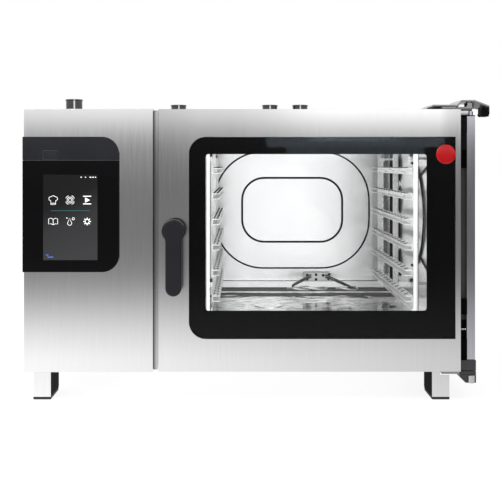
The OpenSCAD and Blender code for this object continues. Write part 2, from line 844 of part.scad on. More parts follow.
// Black hook at the end of the top rail's lip
module rail_end_hook() {
    x = hinge_x + 48;
    color([0.08, 0.08, 0.09]) in_casing() front_plate(frame_y - 3, 110) polygon([
        [x + 0.2, 763], [x + 10, 764], [hook_x1, 758], [hook_x1, 740], [hook_x1 - 4, 737],
        [x - 5, 737], [x - 5, 742], [x + 8, 744], [x + 8, 751], [x + 0.2, 753]
    ]);
}

// Rail along the cabinet's top right edge that guides the door when it slides back
module top_side_rail() {
    low_z = top_arm_z + arm_t + 1;
    color("lightgray") in_casing() {
        block([seat_x[0], bracket_y1, low_z], [rail_x, rail_y1, low_z + rail_t]);
        block([rail_x - rail_t, bracket_y1, 737], [rail_x, rail_y1, low_z]);
        for (y = [150, 430, 700])
            block([seat_x[0], y, top_z], [seat_x[1], y + 40, low_z]);
    }
}

// Bar under the hinge with the bottom pin's bore, on a plate behind the foot
module bottom_hinge_bracket() {
    bar_z = bottom_arm_z - 1;
    color("dimgray") in_casing() difference() {
        union() {
            front_plate(bracket_y0 + 4, under_y[1]) polygon([
                [hinge_x - 26, bar_z], [hinge_x - 26, 60], [hinge_x - 12, 46],
                [hinge_x + 15, 46], [hinge_x + 15, bar_z]
            ]);
            block([1000, under_y[0], 58], [hinge_x - 26, under_y[1], 64]);
            block([1000, under_y[0], 64], [seat_x[1], under_y[1], base_z]);
        }
        rod_z(hinge_x, hinge_y, pin_r + play, 45, bar_z + 1);
    }
}

// Rail along the cabinet's bottom right edge
module bottom_side_rail() {
    color("lightgray") in_casing() {
        block([1020, under_y[1], 66], [rail_x, 700, 66 + rail_t]);
        block([rail_x - rail_t, under_y[1], 66 + rail_t], [rail_x, 700, 95]);
        for (y = [200, 400, 640])
            block([1020, y, 66 + rail_t], [seat_x[1], y + 40, base_z]);
    }
}

// Gland of the mains cable on the rear panel
module cable_gland() {
    color([0.15, 0.15, 0.16]) in_casing() difference() {
        union() {
            rod_y(gland_xz[0], gland_xz[1], 12, 885, case_d);
            translate([gland_xz[0], case_d, gland_xz[1]]) rotate([-90, 0, 0])
                cylinder(h = 9, r = 19, $fn = 6);
            rod_y(gland_xz[0], gland_xz[1], 15, case_d + 9, case_d + 24);
        }
        rod_y(gland_xz[0], gland_xz[1], gland_r, 884, case_d + 25);
    }
}

// ---- Door ----

module glass_outline(gap) {
    rounded(glass_lo + [gap, gap], glass_hi - [gap, gap], big_r - gap, 0);
}

// Folded steel skin: front face round the glass and four returned edges
module door_skin() {
    back = door_t - 2;
    color("gainsboro") in_casing() difference() {
        union() {
            front_plate(0, sheet_t) difference() {
                rect([door_x0, door_z0], [door_x1, door_z1]);
                glass_outline(0);
            }
            front_plate(sheet_t, back) difference() {
                rect([door_x0, door_z0], [door_x1, door_z1]);
                rect([door_x0 + sheet_t, door_z0 + sheet_t], [door_x1 - sheet_t, door_z1 - sheet_t]);
            }
        }
        rod_y(handle_x, handle_z, spindle_r + 1, -1, 5);
        // Slots for the guide shoes
        for (z = [door_z0 - 1, door_z1 - 4])
            block([channel_x0, hinge_y - channel_w / 2, z],
                [shoe_x + 18, hinge_y + channel_w / 2, z + 5]);
    }
}

module door_outer_glass() {
    color([0.3, 0.32, 0.34, 0.35]) in_casing() front_plate(-0.6, 4) glass_outline(0.4);
}

// Black enamel behind the outer pane, open at the window
module glass_border() {
    color([0.05, 0.05, 0.06]) in_casing() front_plate(4, 4.8) difference() {
        glass_outline(0.4);
        rounded(window_lo, window_hi, window_r, window_r);
    }
}

module door_middle_glass() {
    color([0.6, 0.7, 0.7, 0.3]) in_casing()
        front_plate(28, 32) rounded(glass_lo + [12, -8], glass_hi + [-12, 20], 6, 6);
}

module door_inner_glass() {
    color([0.6, 0.7, 0.7, 0.3]) in_casing()
        front_plate(pane_y, pane_y + 5) rounded(pane_lo + [0.4, 0.4], pane_hi - [0.4, 0.4], 10, 10);
}

// Inner sheet of the door: rim round the inner pane, pane holder and spindle bush
module door_inner_frame() {
    back = door_t - 2;
    rim = 2;
    color("lightgray") in_casing() difference() {
        union() {
            front_plate(back, back + 1.5) difference() {
                rect([door_x0, door_z0], [door_x1, door_z1]);
                rounded(pane_lo, pane_hi, 10, 10);
            }
            front_plate(38, back) difference() {
                rounded(pane_lo - [rim, rim], pane_hi + [rim, rim], 12, 12);
                rounded(pane_lo, pane_hi, 10, 10);
            }
            front_plate(24, 38) difference() {
                rounded(pane_lo - [rim, rim], pane_hi + [rim, rim], 12, 12);
                rounded(glass_lo + [11.6, -8.4], glass_hi + [-11.6, 20.4], 6, 6);
            }
            rod_y(handle_x, handle_z, 14, sheet_t, back);
        }
        rod_y(handle_x, handle_z, spindle_r + play, 0, door_t + 1);
    }
}

// Lamp bars behind the black border, left and right of the window
module door_light_strips() {
    color("white") in_casing() for (x = [window_lo[0] - 24, window_hi[0] + 10])
        block([x, 8, window_lo[1] + 10], [x + 14, 20, window_hi[1] - 10]);
}

module door_badge() {
    color("firebrick") in_casing()
        rod_y(glass_hi[0] - 25, glass_hi[1] - 45, 25, -3.6, -0.6);
}

// Channels in the door's top and bottom edges
module door_channels() {
    half = channel_w / 2;
    lo = channel_wall;
    x1 = shoe_x + 22;
    color("lightgray") in_casing() {
        difference() {
            block([channel_x0, hinge_y - half - lo, door_z1 - sheet_t - channel_h],
                [x1, hinge_y + half + lo, door_z1 - sheet_t]);
            block([channel_x0 - 1, hinge_y - half, door_z1 - sheet_t - channel_h + lo],
                [x1 - lo, hinge_y + half, door_z1]);
        }
        difference() {
            block([channel_x0, hinge_y - half - lo, door_z0 + sheet_t],
                [x1, hinge_y + half + lo, door_z0 + sheet_t + channel_h]);
            block([channel_x0 - 1, hinge_y - half, door_z0],
                [x1 - lo, hinge_y + half, door_z0 + sheet_t + channel_h - lo]);
        }
    }
}

// Upright bar beside the door with the blocks that hold it to the door's edge
module door_guide_bar() {
    bar_x = [hinge_x - 7.5, hinge_x + 14];
    bar_half = 11;
    bar_z = [104, 734];
    block_z = [[104, 158], [221, 260], [645, 729]];
    color("darkgray") in_casing() {
        block([bar_x[0], hinge_y - bar_half, bar_z[0]],
            [bar_x[1], hinge_y + bar_half, bar_z[1]]);
        for (z = block_z)
            block([door_x1, hinge_y - 14, z[0]], [bar_x[0], hinge_y + 14, z[1]]);
        front_plate(8, 40) polygon([
            [door_x1, bar_z[0]], [door_x1, door_z0 + 6], [door_x1 + 6, door_z0 + 1],
            [hinge_x + 15, door_z0 + 1], [hinge_x + 15, bar_z[0]]
        ]);
        block([door_x1, hinge_y - 9, bar_z[1]], [hinge_x - 2, hinge_y + 9, bar_z[1] + 12]);
        rod_z(hinge_x + 4, hinge_y, 4, bar_z[1], bar_z[1] + 12);
    }
}

// ---- Handle and swing arms ----

// Hub with a neck and a lever that hangs down at rest
module door_handle() {
    lever_t = 18;
    color([0.17, 0.16, 0.2]) in_casing() difference() {
        union() {
            rod_y(handle_x, handle_z, 20, -lever_out + 8, -0.4);
            rod_y(handle_x, handle_z, 26, -12, -0.4);
            hull() {
                rod_y(handle_x, handle_z, hub_r, -lever_out + 4, -lever_out + lever_t);
                rod_y(handle_x, handle_z, hub_r - 4, -lever_out, -lever_out + lever_t);
            }
            hull() for (z = [handle_z, handle_z - lever_len + lever_w / 2]) {
                rod_y(handle_x, z, lever_w / 2, -lever_out + 4, -lever_out + lever_t);
                rod_y(handle_x, z, lever_w / 2 - 4, -lever_out, -lever_out + lever_t);
            }
        }
        rod_y(handle_x, handle_z, spindle_r, -lever_out + 12, 1);
    }
}

// Spindle through the door, with the latch tongue on its inner end
module handle_spindle() {
    half = 7;
    color("silver") in_casing() {
        rod_y(handle_x, handle_z, spindle_r, -lever_out + 12, tongue_y + tongue_t);
        block([handle_x - half, tongue_y, handle_z - tongue_len + half],
            [handle_x + half, tongue_y + tongue_t, handle_z]);
        rod_y(handle_x, handle_z - tongue_len + half, half, tongue_y, tongue_y + tongue_t);
    }
}

// Arms over and under the door, each with its hinge pin, nut and guide shoe
module swing_arms() {
    nut_r = 12;
    color("silver") in_casing() {
        arm_plate(top_arm_z);
        rod_z(hinge_x, hinge_y, pin_r, top_arm_z, bracket_top + 1);
        rod_z(hinge_x, hinge_y, nut_r, top_arm_z + arm_t, top_arm_z + arm_t + 4);
        translate([hinge_x, hinge_y, top_arm_z + arm_t + 4]) cylinder(h = 6, r = nut_r, $fn = 6);
        rod_z(shoe_x, hinge_y, shoe_r, door_z1 - 18, top_arm_z);
        arm_plate(bottom_arm_z);
        rod_z(hinge_x, hinge_y, pin_r, 48, bottom_arm_z + arm_t);
        rod_z(shoe_x, hinge_y, shoe_r, bottom_arm_z + arm_t, door_z0 + 18);
    }
}

module arm_plate(z) {
    half = 13;
    block([arm_left, hinge_y - half, z], [hinge_x, hinge_y + half, z + arm_t]);
    rod_z(hinge_x, hinge_y, half, z, z + arm_t);
}

base_tray();
front_left_foot();
front_right_foot();
rear_left_foot();
rear_right_foot();
foot_pads();
left_side_panel();
right_side_panel();
rear_panel();
top_cover();
column_front_panel();
cabinet_front_frame();
gutter_strip();
control_bezel();
service_strip();
display_glass();
port_flap();
cavity_shell();
insulation();
suction_panel();
fan_wheel();
fan_motor();
ring_heater();
steam_generator();
steam_pipe();
control_board();
contactor_block();
cooling_fan_housing();
cooling_fan();
water_valves();
water_inlets();
drain_box();
drain_pipe();
drain_grate();
vent_pipes();
rack_studs();
rack_left();
rack_right();
rear_rod_bracket();
door_gasket();
latch_striker();
top_hinge_bracket();
rail_end_hook();
top_side_rail();
bottom_hinge_bracket();
bottom_side_rail();
cable_gland();
door_skin();
door_outer_glass();
glass_border();
door_middle_glass();
door_inner_glass();
door_inner_frame();
door_light_strips();
door_badge();
door_channels();
door_guide_bar();
door_handle();
handle_spindle();
swing_arms();
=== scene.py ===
"""Looks of the combi steamer oven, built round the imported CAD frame, in metres."""

import json
import math

import bmesh
import bpy
from mathutils import Matrix, Vector
from mathutils.geometry import tessellate_polygon


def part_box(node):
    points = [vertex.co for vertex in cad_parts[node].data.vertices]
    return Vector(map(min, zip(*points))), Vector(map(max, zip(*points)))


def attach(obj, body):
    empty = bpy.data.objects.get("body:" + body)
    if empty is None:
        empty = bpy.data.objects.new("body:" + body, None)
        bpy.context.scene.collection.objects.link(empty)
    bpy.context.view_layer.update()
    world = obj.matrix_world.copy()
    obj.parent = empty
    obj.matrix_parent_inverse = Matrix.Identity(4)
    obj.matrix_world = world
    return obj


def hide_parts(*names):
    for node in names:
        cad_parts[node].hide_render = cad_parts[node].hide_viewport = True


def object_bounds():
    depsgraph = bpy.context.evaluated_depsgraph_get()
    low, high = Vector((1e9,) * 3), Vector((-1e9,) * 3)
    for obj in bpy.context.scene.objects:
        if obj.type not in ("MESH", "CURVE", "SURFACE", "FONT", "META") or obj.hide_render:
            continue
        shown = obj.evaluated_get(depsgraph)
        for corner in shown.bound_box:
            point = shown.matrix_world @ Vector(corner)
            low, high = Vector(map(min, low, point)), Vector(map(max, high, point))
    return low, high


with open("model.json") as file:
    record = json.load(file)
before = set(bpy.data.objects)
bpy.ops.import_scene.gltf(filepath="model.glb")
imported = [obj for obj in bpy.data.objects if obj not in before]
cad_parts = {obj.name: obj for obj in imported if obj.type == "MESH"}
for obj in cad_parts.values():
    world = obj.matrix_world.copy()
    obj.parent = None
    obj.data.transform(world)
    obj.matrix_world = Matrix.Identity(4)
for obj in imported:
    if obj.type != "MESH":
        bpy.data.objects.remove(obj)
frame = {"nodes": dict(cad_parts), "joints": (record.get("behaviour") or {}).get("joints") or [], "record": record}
cad_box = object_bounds()

MM = 0.001
RIGHT_ANGLE = math.pi / 2
JOINTS = {joint["name"]: joint for joint in frame["joints"]}
HINGE = Vector(JOINTS["door_swing"]["pos_m"])
SPINDLE = Vector(JOINTS["handle_turn"]["pos_m"])
SLOT_OF = {part["node"]: part["material_slot"] for part in frame["record"]["subparts"]}
BODY_OF = {node: body for body, nodes in frame["record"]["behaviour"]["bodies"].items()
           for node in nodes}


# ---- Camera, surroundings and light ----

EYE = (-0.0452, -2.899, 0.6087)
LENS = 69.1
LENS_SHIFT = (0.016, -0.172)


def camera():
    """The lens stands level with the door's upper half, a little left of the middle."""
    eye = bpy.data.cameras.new("camera")
    eye.lens = LENS
    eye.shift_x, eye.shift_y = LENS_SHIFT
    holder = bpy.data.objects.new("camera", eye)
    holder.location = EYE
    holder.rotation_euler = (RIGHT_ANGLE, 0, 0)
    bpy.context.scene.collection.objects.link(holder)
    bpy.context.scene.camera = holder
    bpy.context.scene.view_settings.view_transform = "Standard"


def link(tree, source, target):
    """Joins two sockets."""
    tree.links.new(source, target)


def maths(tree, operation, first, second=None):
    """One Math node; either input is a socket or a number."""
    node = tree.nodes.new("ShaderNodeMath")
    node.operation = operation
    for index, value in enumerate((first, second)):
        if value is None:
            continue
        if isinstance(value, (int, float)):
            node.inputs[index].default_value = value
        else:
            link(tree, value, node.inputs[index])
    return node.outputs[0]


def ramp(tree, source, stops):
    """A ColorRamp; each stop is its place and a grey or a colour."""
    node = tree.nodes.new("ShaderNodeValToRGB")
    link(tree, source, node.inputs["Fac"])
    elements = node.color_ramp.elements
    while len(elements) < len(stops):
        elements.new(0.5)
    for element, (place, tone) in zip(elements, stops):
        element.position = place
        colour = tone if isinstance(tone, tuple) else (tone, tone, tone)
        element.color = (*colour, 1)
    return node.outputs["Color"]


def emitter(tree, kind, colour, strength):
    """A Background or Emission shader; colour and strength are sockets or values."""
    node = tree.nodes.new(kind)
    for name, value in (("Color", colour), ("Strength", strength)):
        if isinstance(value, bpy.types.NodeSocket):
            link(tree, value, node.inputs[name])
        else:
            node.inputs[name].default_value = value
    return node


def coordinates(tree, kind="Object"):
    """X, Y and Z: of a place in the object's axes, or of a ray's direction."""
    place = tree.nodes.new("ShaderNodeTexCoord")
    split = tree.nodes.new("ShaderNodeSeparateXYZ")
    link(tree, place.outputs[kind], split.inputs[0])
    return split.outputs


def share_along(tree, box, axis):
    """How far along a box a place is, from 0 to 1."""
    low, high = (corner["XYZ".index(axis)] for corner in box)
    return maths(tree, "DIVIDE", maths(tree, "SUBTRACT", coordinates(tree)[axis], low),
                 high - low)


def hypotenuse(tree, first, second):
    """Length of a pair of sockets at right angles."""
    return maths(tree, "SQRT", maths(tree, "ADD", maths(tree, "MULTIPLY", first, first),
                                     maths(tree, "MULTIPLY", second, second)))


# Every material by the name it was made under
M = {}


def blank_material(name):
    """A node material with nothing in it yet, and its tree; M keeps it."""
    material = bpy.data.materials.new(name)
    material.use_nodes = True
    material.node_tree.nodes.clear()
    M[name] = material
    return material, material.node_tree


WHITE = (1, 1, 1, 1)
ENVIRONMENT_GAIN = 1.3
# Brightness of the studio by the slope of a ray above the horizon
SKY = [(0.0, 0.2), (0.015, 0.235), (0.023, 0.275), (0.031, 0.345), (0.038, 0.48),
       (0.044, 0.65), (0.054, 0.86), (0.08, 1.0), (0.2, 0.78), (1.0, 0.6)]
# Brightness of the floor by t = d / (d + 1.5), where d is the distance from the machine
FLOOR = [(0.0, 0.95), (0.23, 0.92), (0.29, 0.87), (0.34, 0.81), (0.39, 0.75), (0.46, 0.63),
         (0.53, 0.485), (0.59, 0.365), (0.65, 0.27), (0.70, 0.235), (0.74, 0.22), (0.81, 0.205),
         (0.93, 0.203), (1.0, 0.203)]
FLOOR_HALF_DISTANCE = 1.5
# The floor's strength from one side of the machine to the other: X from, X to, from, to
FLOOR_FALL = (-0.65, 0.65, 1.34, 0.78)
# How quickly that fall spreads out with the square of the distance
FLOOR_WIDENING = 0.5
FLOOR_HALF_SIDE = 40
# The floor lies this far under the pads
FLOOR_DROP = 0.2 * MM
# What the camera sees of the floor: how pale the paper is, and its own light
PAPER_TONE = (0.22, 0.22, 0.22, 1)
PAPER_GLOW = 0.86


def surroundings():
    """A white studio, whose walls turn darker towards the horizon."""
    world = bpy.data.worlds.new("studio")
    bpy.context.scene.world = world
    world.use_nodes = True
    tree = world.node_tree
    tree.nodes.clear()
    ray = coordinates(tree, "Generated")
    flat = maths(tree, "MAXIMUM", hypotenuse(tree, ray["X"], ray["Y"]), 0.01)
    slope = maths(tree, "DIVIDE", ray["Z"], flat)
    shade = emitter(tree, "ShaderNodeBackground", ramp(tree, slope, SKY), ENVIRONMENT_GAIN)
    plain = emitter(tree, "ShaderNodeBackground", WHITE, 1.0)
    choose_by_ray(tree, shade, plain, "ShaderNodeOutputWorld")


def choose_by_ray(tree, other, seen, output_type):
    """The camera sees one shader of the studio, and the machine's surfaces mirror the other."""
    rays = tree.nodes.new("ShaderNodeLightPath")
    mix = tree.nodes.new("ShaderNodeMixShader")
    link(tree, rays.outputs["Is Camera Ray"], mix.inputs[0])
    link(tree, other.outputs[0], mix.inputs[1])
    link(tree, seen.outputs[0], mix.inputs[2])
    output = tree.nodes.new(output_type)
    link(tree, mix.outputs[0], output.inputs["Surface"])


def floor():
    """Pale studio floor, brightest round the machine."""
    half = FLOOR_HALF_SIDE
    mesh = bpy.data.meshes.new("studio_floor")
    mesh.from_pydata([(-half, -half, 0), (half, -half, 0), (half, half, 0), (-half, half, 0)],
                     [], [(0, 1, 2, 3)])
    obj = bpy.data.objects.new("studio_floor", mesh)
    bpy.context.scene.collection.objects.link(obj)
    obj.location.z = -FLOOR_DROP
    material, tree = blank_material("studio_floor")
    place = coordinates(tree)
    beyond = [maths(tree, "MAXIMUM", maths(
        tree, "SUBTRACT", maths(tree, "ABSOLUTE", place[axis]), reach), 0.0)
        for axis, reach in zip("XY", cad_box[1])]
    distance = hypotenuse(tree, *beyond)
    share = maths(tree, "DIVIDE", distance, maths(tree, "ADD", distance, FLOOR_HALF_DISTANCE))
    sideways = tree.nodes.new("ShaderNodeMapRange")
    for socket, value in zip(("From Min", "From Max", "To Min", "To Max"), FLOOR_FALL):
        sideways.inputs[socket].default_value = value
    widen = maths(tree, "ADD", maths(tree, "MULTIPLY", maths(
        tree, "MULTIPLY", distance, distance), FLOOR_WIDENING), 1.0)
    link(tree, maths(tree, "DIVIDE", place["X"], widen), sideways.inputs["Value"])
    mirrored = emitter(tree, "ShaderNodeEmission", ramp(tree, share, FLOOR),
                       sideways.outputs["Result"])
    paper = tree.nodes.new("ShaderNodeBsdfDiffuse")
    paper.inputs["Color"].default_value = PAPER_TONE
    shine = emitter(tree, "ShaderNodeEmission", WHITE, PAPER_GLOW)
    seen = tree.nodes.new("ShaderNodeAddShader")
    link(tree, paper.outputs[0], seen.inputs[0])
    link(tree, shine.outputs[0], seen.inputs[1])
    choose_by_ray(tree, mirrored, seen, "ShaderNodeOutputMaterial")
    mesh.materials.append(material)


def area_light(name, place, aim, size, power, tint=(1, 1, 1)):
    """A rectangular lamp that the camera can't see."""
    lamp = bpy.data.lights.new(name, "AREA")
    lamp.shape = "RECTANGLE"
    lamp.size, lamp.size_y = size
    lamp.energy = power
    lamp.color = tint
    holder = bpy.data.objects.new(name, lamp)
    holder.location = place
    holder.rotation_euler = (Vector(aim) - Vector(place)).to_track_quat("-Z", "Y").to_euler()
    holder.visible_camera = False
    bpy.context.scene.collection.objects.link(holder)
    return holder


def only_on(holder, names):
    """Lets a lamp light these objects and no others."""
    group = bpy.data.collections.new(holder.name + "_targets")
    for name in names:
        group.objects.link(bpy.data.objects[name])
    holder.light_linking.receiver_collection = group


COOL = (0.72, 0.87, 1)
# Lamps that only the door's glass mirrors: name, height, width and height of lamp, power
GLASS_LAMPS = [("panel_high", 1.0, (1.3, 0.12), 3.0), ("panel_wide", 0.96, (2.6, 0.2), 5.5),
               ("panel_low", 0.79, (2.0, 0.22), 3.2)]


def lights():
    """A softbox, the chamber's own light, and lamps that only the glass or pipes mirror."""
    low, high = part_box("cavity_shell")
    middle = (low + high) / 2
    inset = 12 * MM
    area_light("softbox", (-1.6, -1.6, 2.6), (0, 0, 0.4), (1.6, 1.6), 40)
    area_light("chamber_top", (middle.x, middle.y - 0.1, high.z - inset),
               (middle.x, middle.y - 0.1, low.z), (0.5, 0.55), 1.6)
    area_light("chamber_mouth", (middle.x, low.y + inset, middle.z - 0.03),
               (middle.x, high.y, middle.z - 0.06), (0.6, 0.5), 1.4)
    glass = [frame["nodes"][node].name for node in ("door_outer_glass", "glass_border")]
    for name, height, size, power in GLASS_LAMPS:
        only_on(area_light(name, (1.6, -12, height), (0.25, 0, height), size, power, COOL),
                glass)
    only_on(area_light("pipe_strip", (0.2, -3.9, 1.1), (-0.1, 0.3, 0.8), (1.3, 1.4), 52),
            ["vent_pipe_ends"])


# ---- Materials ----

def principled(name, values):
    """A material of one Principled shader with these fixed values."""
    material, tree = blank_material(name)
    shader = tree.nodes.new("ShaderNodeBsdfPrincipled")
    output = tree.nodes.new("ShaderNodeOutputMaterial")
    link(tree, shader.outputs[0], output.inputs["Surface"])
    for socket, value in values.items():
        shader.inputs[socket].default_value = value
    return material, tree, shader


def noise(tree, cycles, detail=3.0, distortion=0.0):
    """Noise with this many cycles per metre along X, Y and Z."""
    place = tree.nodes.new("ShaderNodeTexCoord")
    mapping = tree.nodes.new("ShaderNodeMapping")
    mapping.inputs["Scale"].default_value = cycles
    link(tree, place.outputs["Object"], mapping.inputs["Vector"])
    field = tree.nodes.new("ShaderNodeTexNoise")
    field.inputs["Scale"].default_value = 1.0
    field.inputs["Detail"].default_value = detail
    field.inputs["Distortion"].default_value = distortion
    link(tree, mapping.outputs[0], field.inputs["Vector"])
    return field.outputs["Fac"]


def between(tree, source, low, high):
    """Noise stretched from its usual middle range to low … high."""
    node = tree.nodes.new("ShaderNodeMapRange")
    node.inputs["From Min"].default_value = 0.3
    node.inputs["From Max"].default_value = 0.7
    node.inputs["To Min"].default_value = low
    node.inputs["To Max"].default_value = high
    link(tree, source, node.inputs["Value"])
    return node.outputs["Result"]


def relief(tree, shader, source, height):
    """Bumps of this height where the source is bright."""
    node = tree.nodes.new("ShaderNodeBump")
    node.inputs["Distance"].default_value = height
    node.inputs["Strength"].default_value = 1.0
    link(tree, source, node.inputs["Height"])
    link(tree, node.outputs[0], shader.inputs["Normal"])


def shades(tone, spread):
    """Ramp stops from a little darker to a little lighter than tone."""
    dark = tuple(channel * (1 - spread) for channel in tone)
    light = tuple(min(1.0, channel * (1 + spread)) for channel in tone)
    return [(0.3, dark), (0.7, light)]


def follow_grain(tree, shader):
    """Blurs reflections across an upright grain."""
    tangent = tree.nodes.new("ShaderNodeTangent")
    tangent.direction_type = "RADIAL"
    tangent.axis = "Z"
    link(tree, tangent.outputs[0], shader.inputs["Tangent"])


def steel(name, tone, rough, grain=(700, 700, 9), height=0.006 * MM, spread=0.05,
          brushed=0.6, metallic=1.0):
    """Ground sheet steel: fine lines along its grain, and faint larger stains."""
    material, tree, shader = principled(name, {"Metallic": metallic, "Anisotropic": brushed})
    lines = noise(tree, grain)
    stains = noise(tree, (3, 3, 3), 4)
    link(tree, ramp(tree, lines, shades(tone, spread)), shader.inputs["Base Color"])
    roughness = maths(tree, "ADD", between(tree, lines, rough - 0.03, rough + 0.03),
                      between(tree, stains, -0.02, 0.02))
    link(tree, roughness, shader.inputs["Roughness"])
    relief(tree, shader, lines, height)
    if brushed > 0:
        follow_grain(tree, shader)
    return material


# Painted reflection: brightness painted into the door's upper band from its left edge to its right edge
DOOR_PAINTED_REFLECTION = [(0.0, 0.50), (0.06, 0.54), (0.13, 0.61), (0.25, 0.63), (0.36, 0.71), (0.47, 0.84),
         (0.60, 0.95), (0.72, 1.0), (0.92, 0.97), (0.96, 0.74), (1.0, 0.66)]
# Painted reflection level that leaves the sheet's colour as it is
REFLECTION_NEUTRAL = 0.71
# How much of that painted reflection shows, from the door's bottom edge to its top edge
DOOR_PAINTED_REFLECTION_SHARE = [(0.25, 0.0), (0.5, 0.15), (0.64, 0.4), (0.78, 0.85), (0.9, 1.0)]


def door_steel_painted_reflection():
    """Casing steel with a painted reflection: its colour is painted darker at the door's upper left and lighter
    towards the right.
    """
    material = steel("door_steel_painted_reflection", CASING, 0.14, brushed=0.9, height=0.003 * MM, spread=0.025)
    tree = material.node_tree
    shader = next(node for node in tree.nodes if node.type == "BSDF_PRINCIPLED")
    even = shader.inputs["Base Color"].links[0].from_socket
    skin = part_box("door_skin")
    # Painted reflection: the steel's colour is scaled by its place across the door
    mix = tree.nodes.new("ShaderNodeMix")
    mix.data_type = "RGBA"
    link(tree, ramp(tree, share_along(tree, skin, "Z"), DOOR_PAINTED_REFLECTION_SHARE), mix.inputs["Factor"])
    mix.inputs["A"].default_value = (REFLECTION_NEUTRAL, REFLECTION_NEUTRAL, REFLECTION_NEUTRAL, 1)
    link(tree, ramp(tree, share_along(tree, skin, "X"), DOOR_PAINTED_REFLECTION), mix.inputs["B"])
    gain = tree.nodes.new("ShaderNodeVectorMath")
    gain.operation = "MULTIPLY"
    link(tree, even, gain.inputs[0])
    link(tree, mix.outputs["Result"], gain.inputs[1])
    lift = tree.nodes.new("ShaderNodeVectorMath")
    lift.operation = "SCALE"
    lift.inputs["Scale"].default_value = 1 / REFLECTION_NEUTRAL
    link(tree, gain.outputs[0], lift.inputs[0])
    link(tree, lift.outputs[0], shader.inputs["Base Color"])
    return material


def gutter_steel_painted_shade():
    """Steel of the recessed strip, with painted shade: its colour is painted darker towards the left, where the
    column's shade falls.
    """
    material, tree, shader = principled("gutter_steel_painted_shade", {"Metallic": 1.0, "Anisotropic": 0.9})
    drift = between(tree, noise(tree, (200, 200, 3)), -0.05, 0.05)
    # Painted shade: darkest at the strip's left edge, lighter to the right
    across = maths(tree, "ADD", share_along(tree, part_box("gutter_strip"), "X"), drift)
    link(tree, ramp(tree, across, [(0.0, 0.12), (0.25, 0.22), (0.5, 0.38), (0.75, 0.5),
                                   (1.0, 0.68)]), shader.inputs["Base Color"])
    link(tree, between(tree, noise(tree, (700, 700, 9)), 0.11, 0.17),
         shader.inputs["Roughness"])
    follow_grain(tree, shader)
    return material


def moulded(name, tone, rough, grain=900, height=0.02 * MM, spread=0.12, index=None):
    """Plastic, rubber or paint with a fine even grain."""
    material, tree, shader = principled(name, {} if index is None else {"IOR": index})
    dots = noise(tree, (grain, grain, grain), 2)
    stains = noise(tree, (14, 14, 14), 3)
    link(tree, ramp(tree, stains, shades(tone, spread)), shader.inputs["Base Color"])
    link(tree, between(tree, dots, rough - 0.04, rough + 0.04), shader.inputs["Roughness"])
    relief(tree, shader, dots, height)
    return material


def pane(name, tint, index):
    """Thin clear glass: it mirrors a little and lets the rest straight through."""
    material, tree = blank_material(name)
    wipe = noise(tree, (6, 6, 2), 4, 0.6)
    through = tree.nodes.new("ShaderNodeBsdfTransparent")
    link(tree, ramp(tree, wipe, shades(tint, 0.01)), through.inputs["Color"])
    mirror = tree.nodes.new("ShaderNodeBsdfGlossy")
    link(tree, between(tree, wipe, 0.01, 0.04), mirror.inputs["Roughness"])
    # The light passes without bending, so both faces reflect as the front face does
    side = tree.nodes.new("ShaderNodeNewGeometry").outputs["Backfacing"]
    fresnel = tree.nodes.new("ShaderNodeFresnel")
    link(tree, maths(tree, "SUBTRACT", index,
                     maths(tree, "MULTIPLY", side, index - 1 / index)), fresnel.inputs["IOR"])
    mix = tree.nodes.new("ShaderNodeMixShader")
    link(tree, fresnel.outputs[0], mix.inputs[0])
    link(tree, through.outputs[0], mix.inputs[1])
    link(tree, mirror.outputs[0], mix.inputs[2])
    output = tree.nodes.new("ShaderNodeOutputMaterial")
    link(tree, mix.outputs[0], output.inputs["Surface"])
    return material


def lit(name, tone, strength):
    """A surface that gives light of its own, a little uneven."""
    material, tree, shader = principled(
        name, {"Roughness": 0.4, "Emission Strength": strength})
    cloud = noise(tree, (40, 40, 40), 2)
    colour = ramp(tree, cloud, shades(tone, 0.04))
    link(tree, colour, shader.inputs["Base Color"])
    link(tree, colour, shader.inputs["Emission Color"])
    return material


def scratched(tree, shader, low, high):
    """Roughness that fine scratches vary from low to high."""
    link(tree, between(tree, noise(tree, (160, 160, 160), 3), low, high),
         shader.inputs["Roughness"])


def chamber_steel(name, tone, rough):
    """Polished sheet with the shallow waves that welding leaves in it."""
    material, tree, shader = principled(name, {"Metallic": 0.9})
    waves = noise(tree, (5, 5, 5), 3, 1.2)
    link(tree, ramp(tree, waves, shades(tone, 0.03)), shader.inputs["Base Color"])
    scratched(tree, shader, rough - 0.03, rough + 0.03)
    relief(tree, shader, waves, 1.2 * MM)
    return material


def floor_with_painted_reflection():
    """Polished floor sheet that mirrors the chamber in long broken streaks, partly painted reflection in its
    colour and partly from its waves.
    """
    material, tree, shader = principled("chamber_floor_painted_reflection", {"Metallic": 1.0})
    streaks = noise(tree, (9, 34, 9), 4, 2.2)
    # Painted reflection: dark and light streaks in the base colour
    link(tree, ramp(tree, streaks, [(0.38, (0.16, 0.16, 0.165)), (0.47, (0.5, 0.5, 0.5)),
                                    (0.53, (0.9, 0.9, 0.9)), (0.62, (0.42, 0.42, 0.42)),
                                    (0.7, (0.95, 0.95, 0.95))]), shader.inputs["Base Color"])
    scratched(tree, shader, 0.05, 0.1)
    relief(tree, shader, noise(tree, (5, 5, 5), 3, 1.2), 5 * MM)
    return material


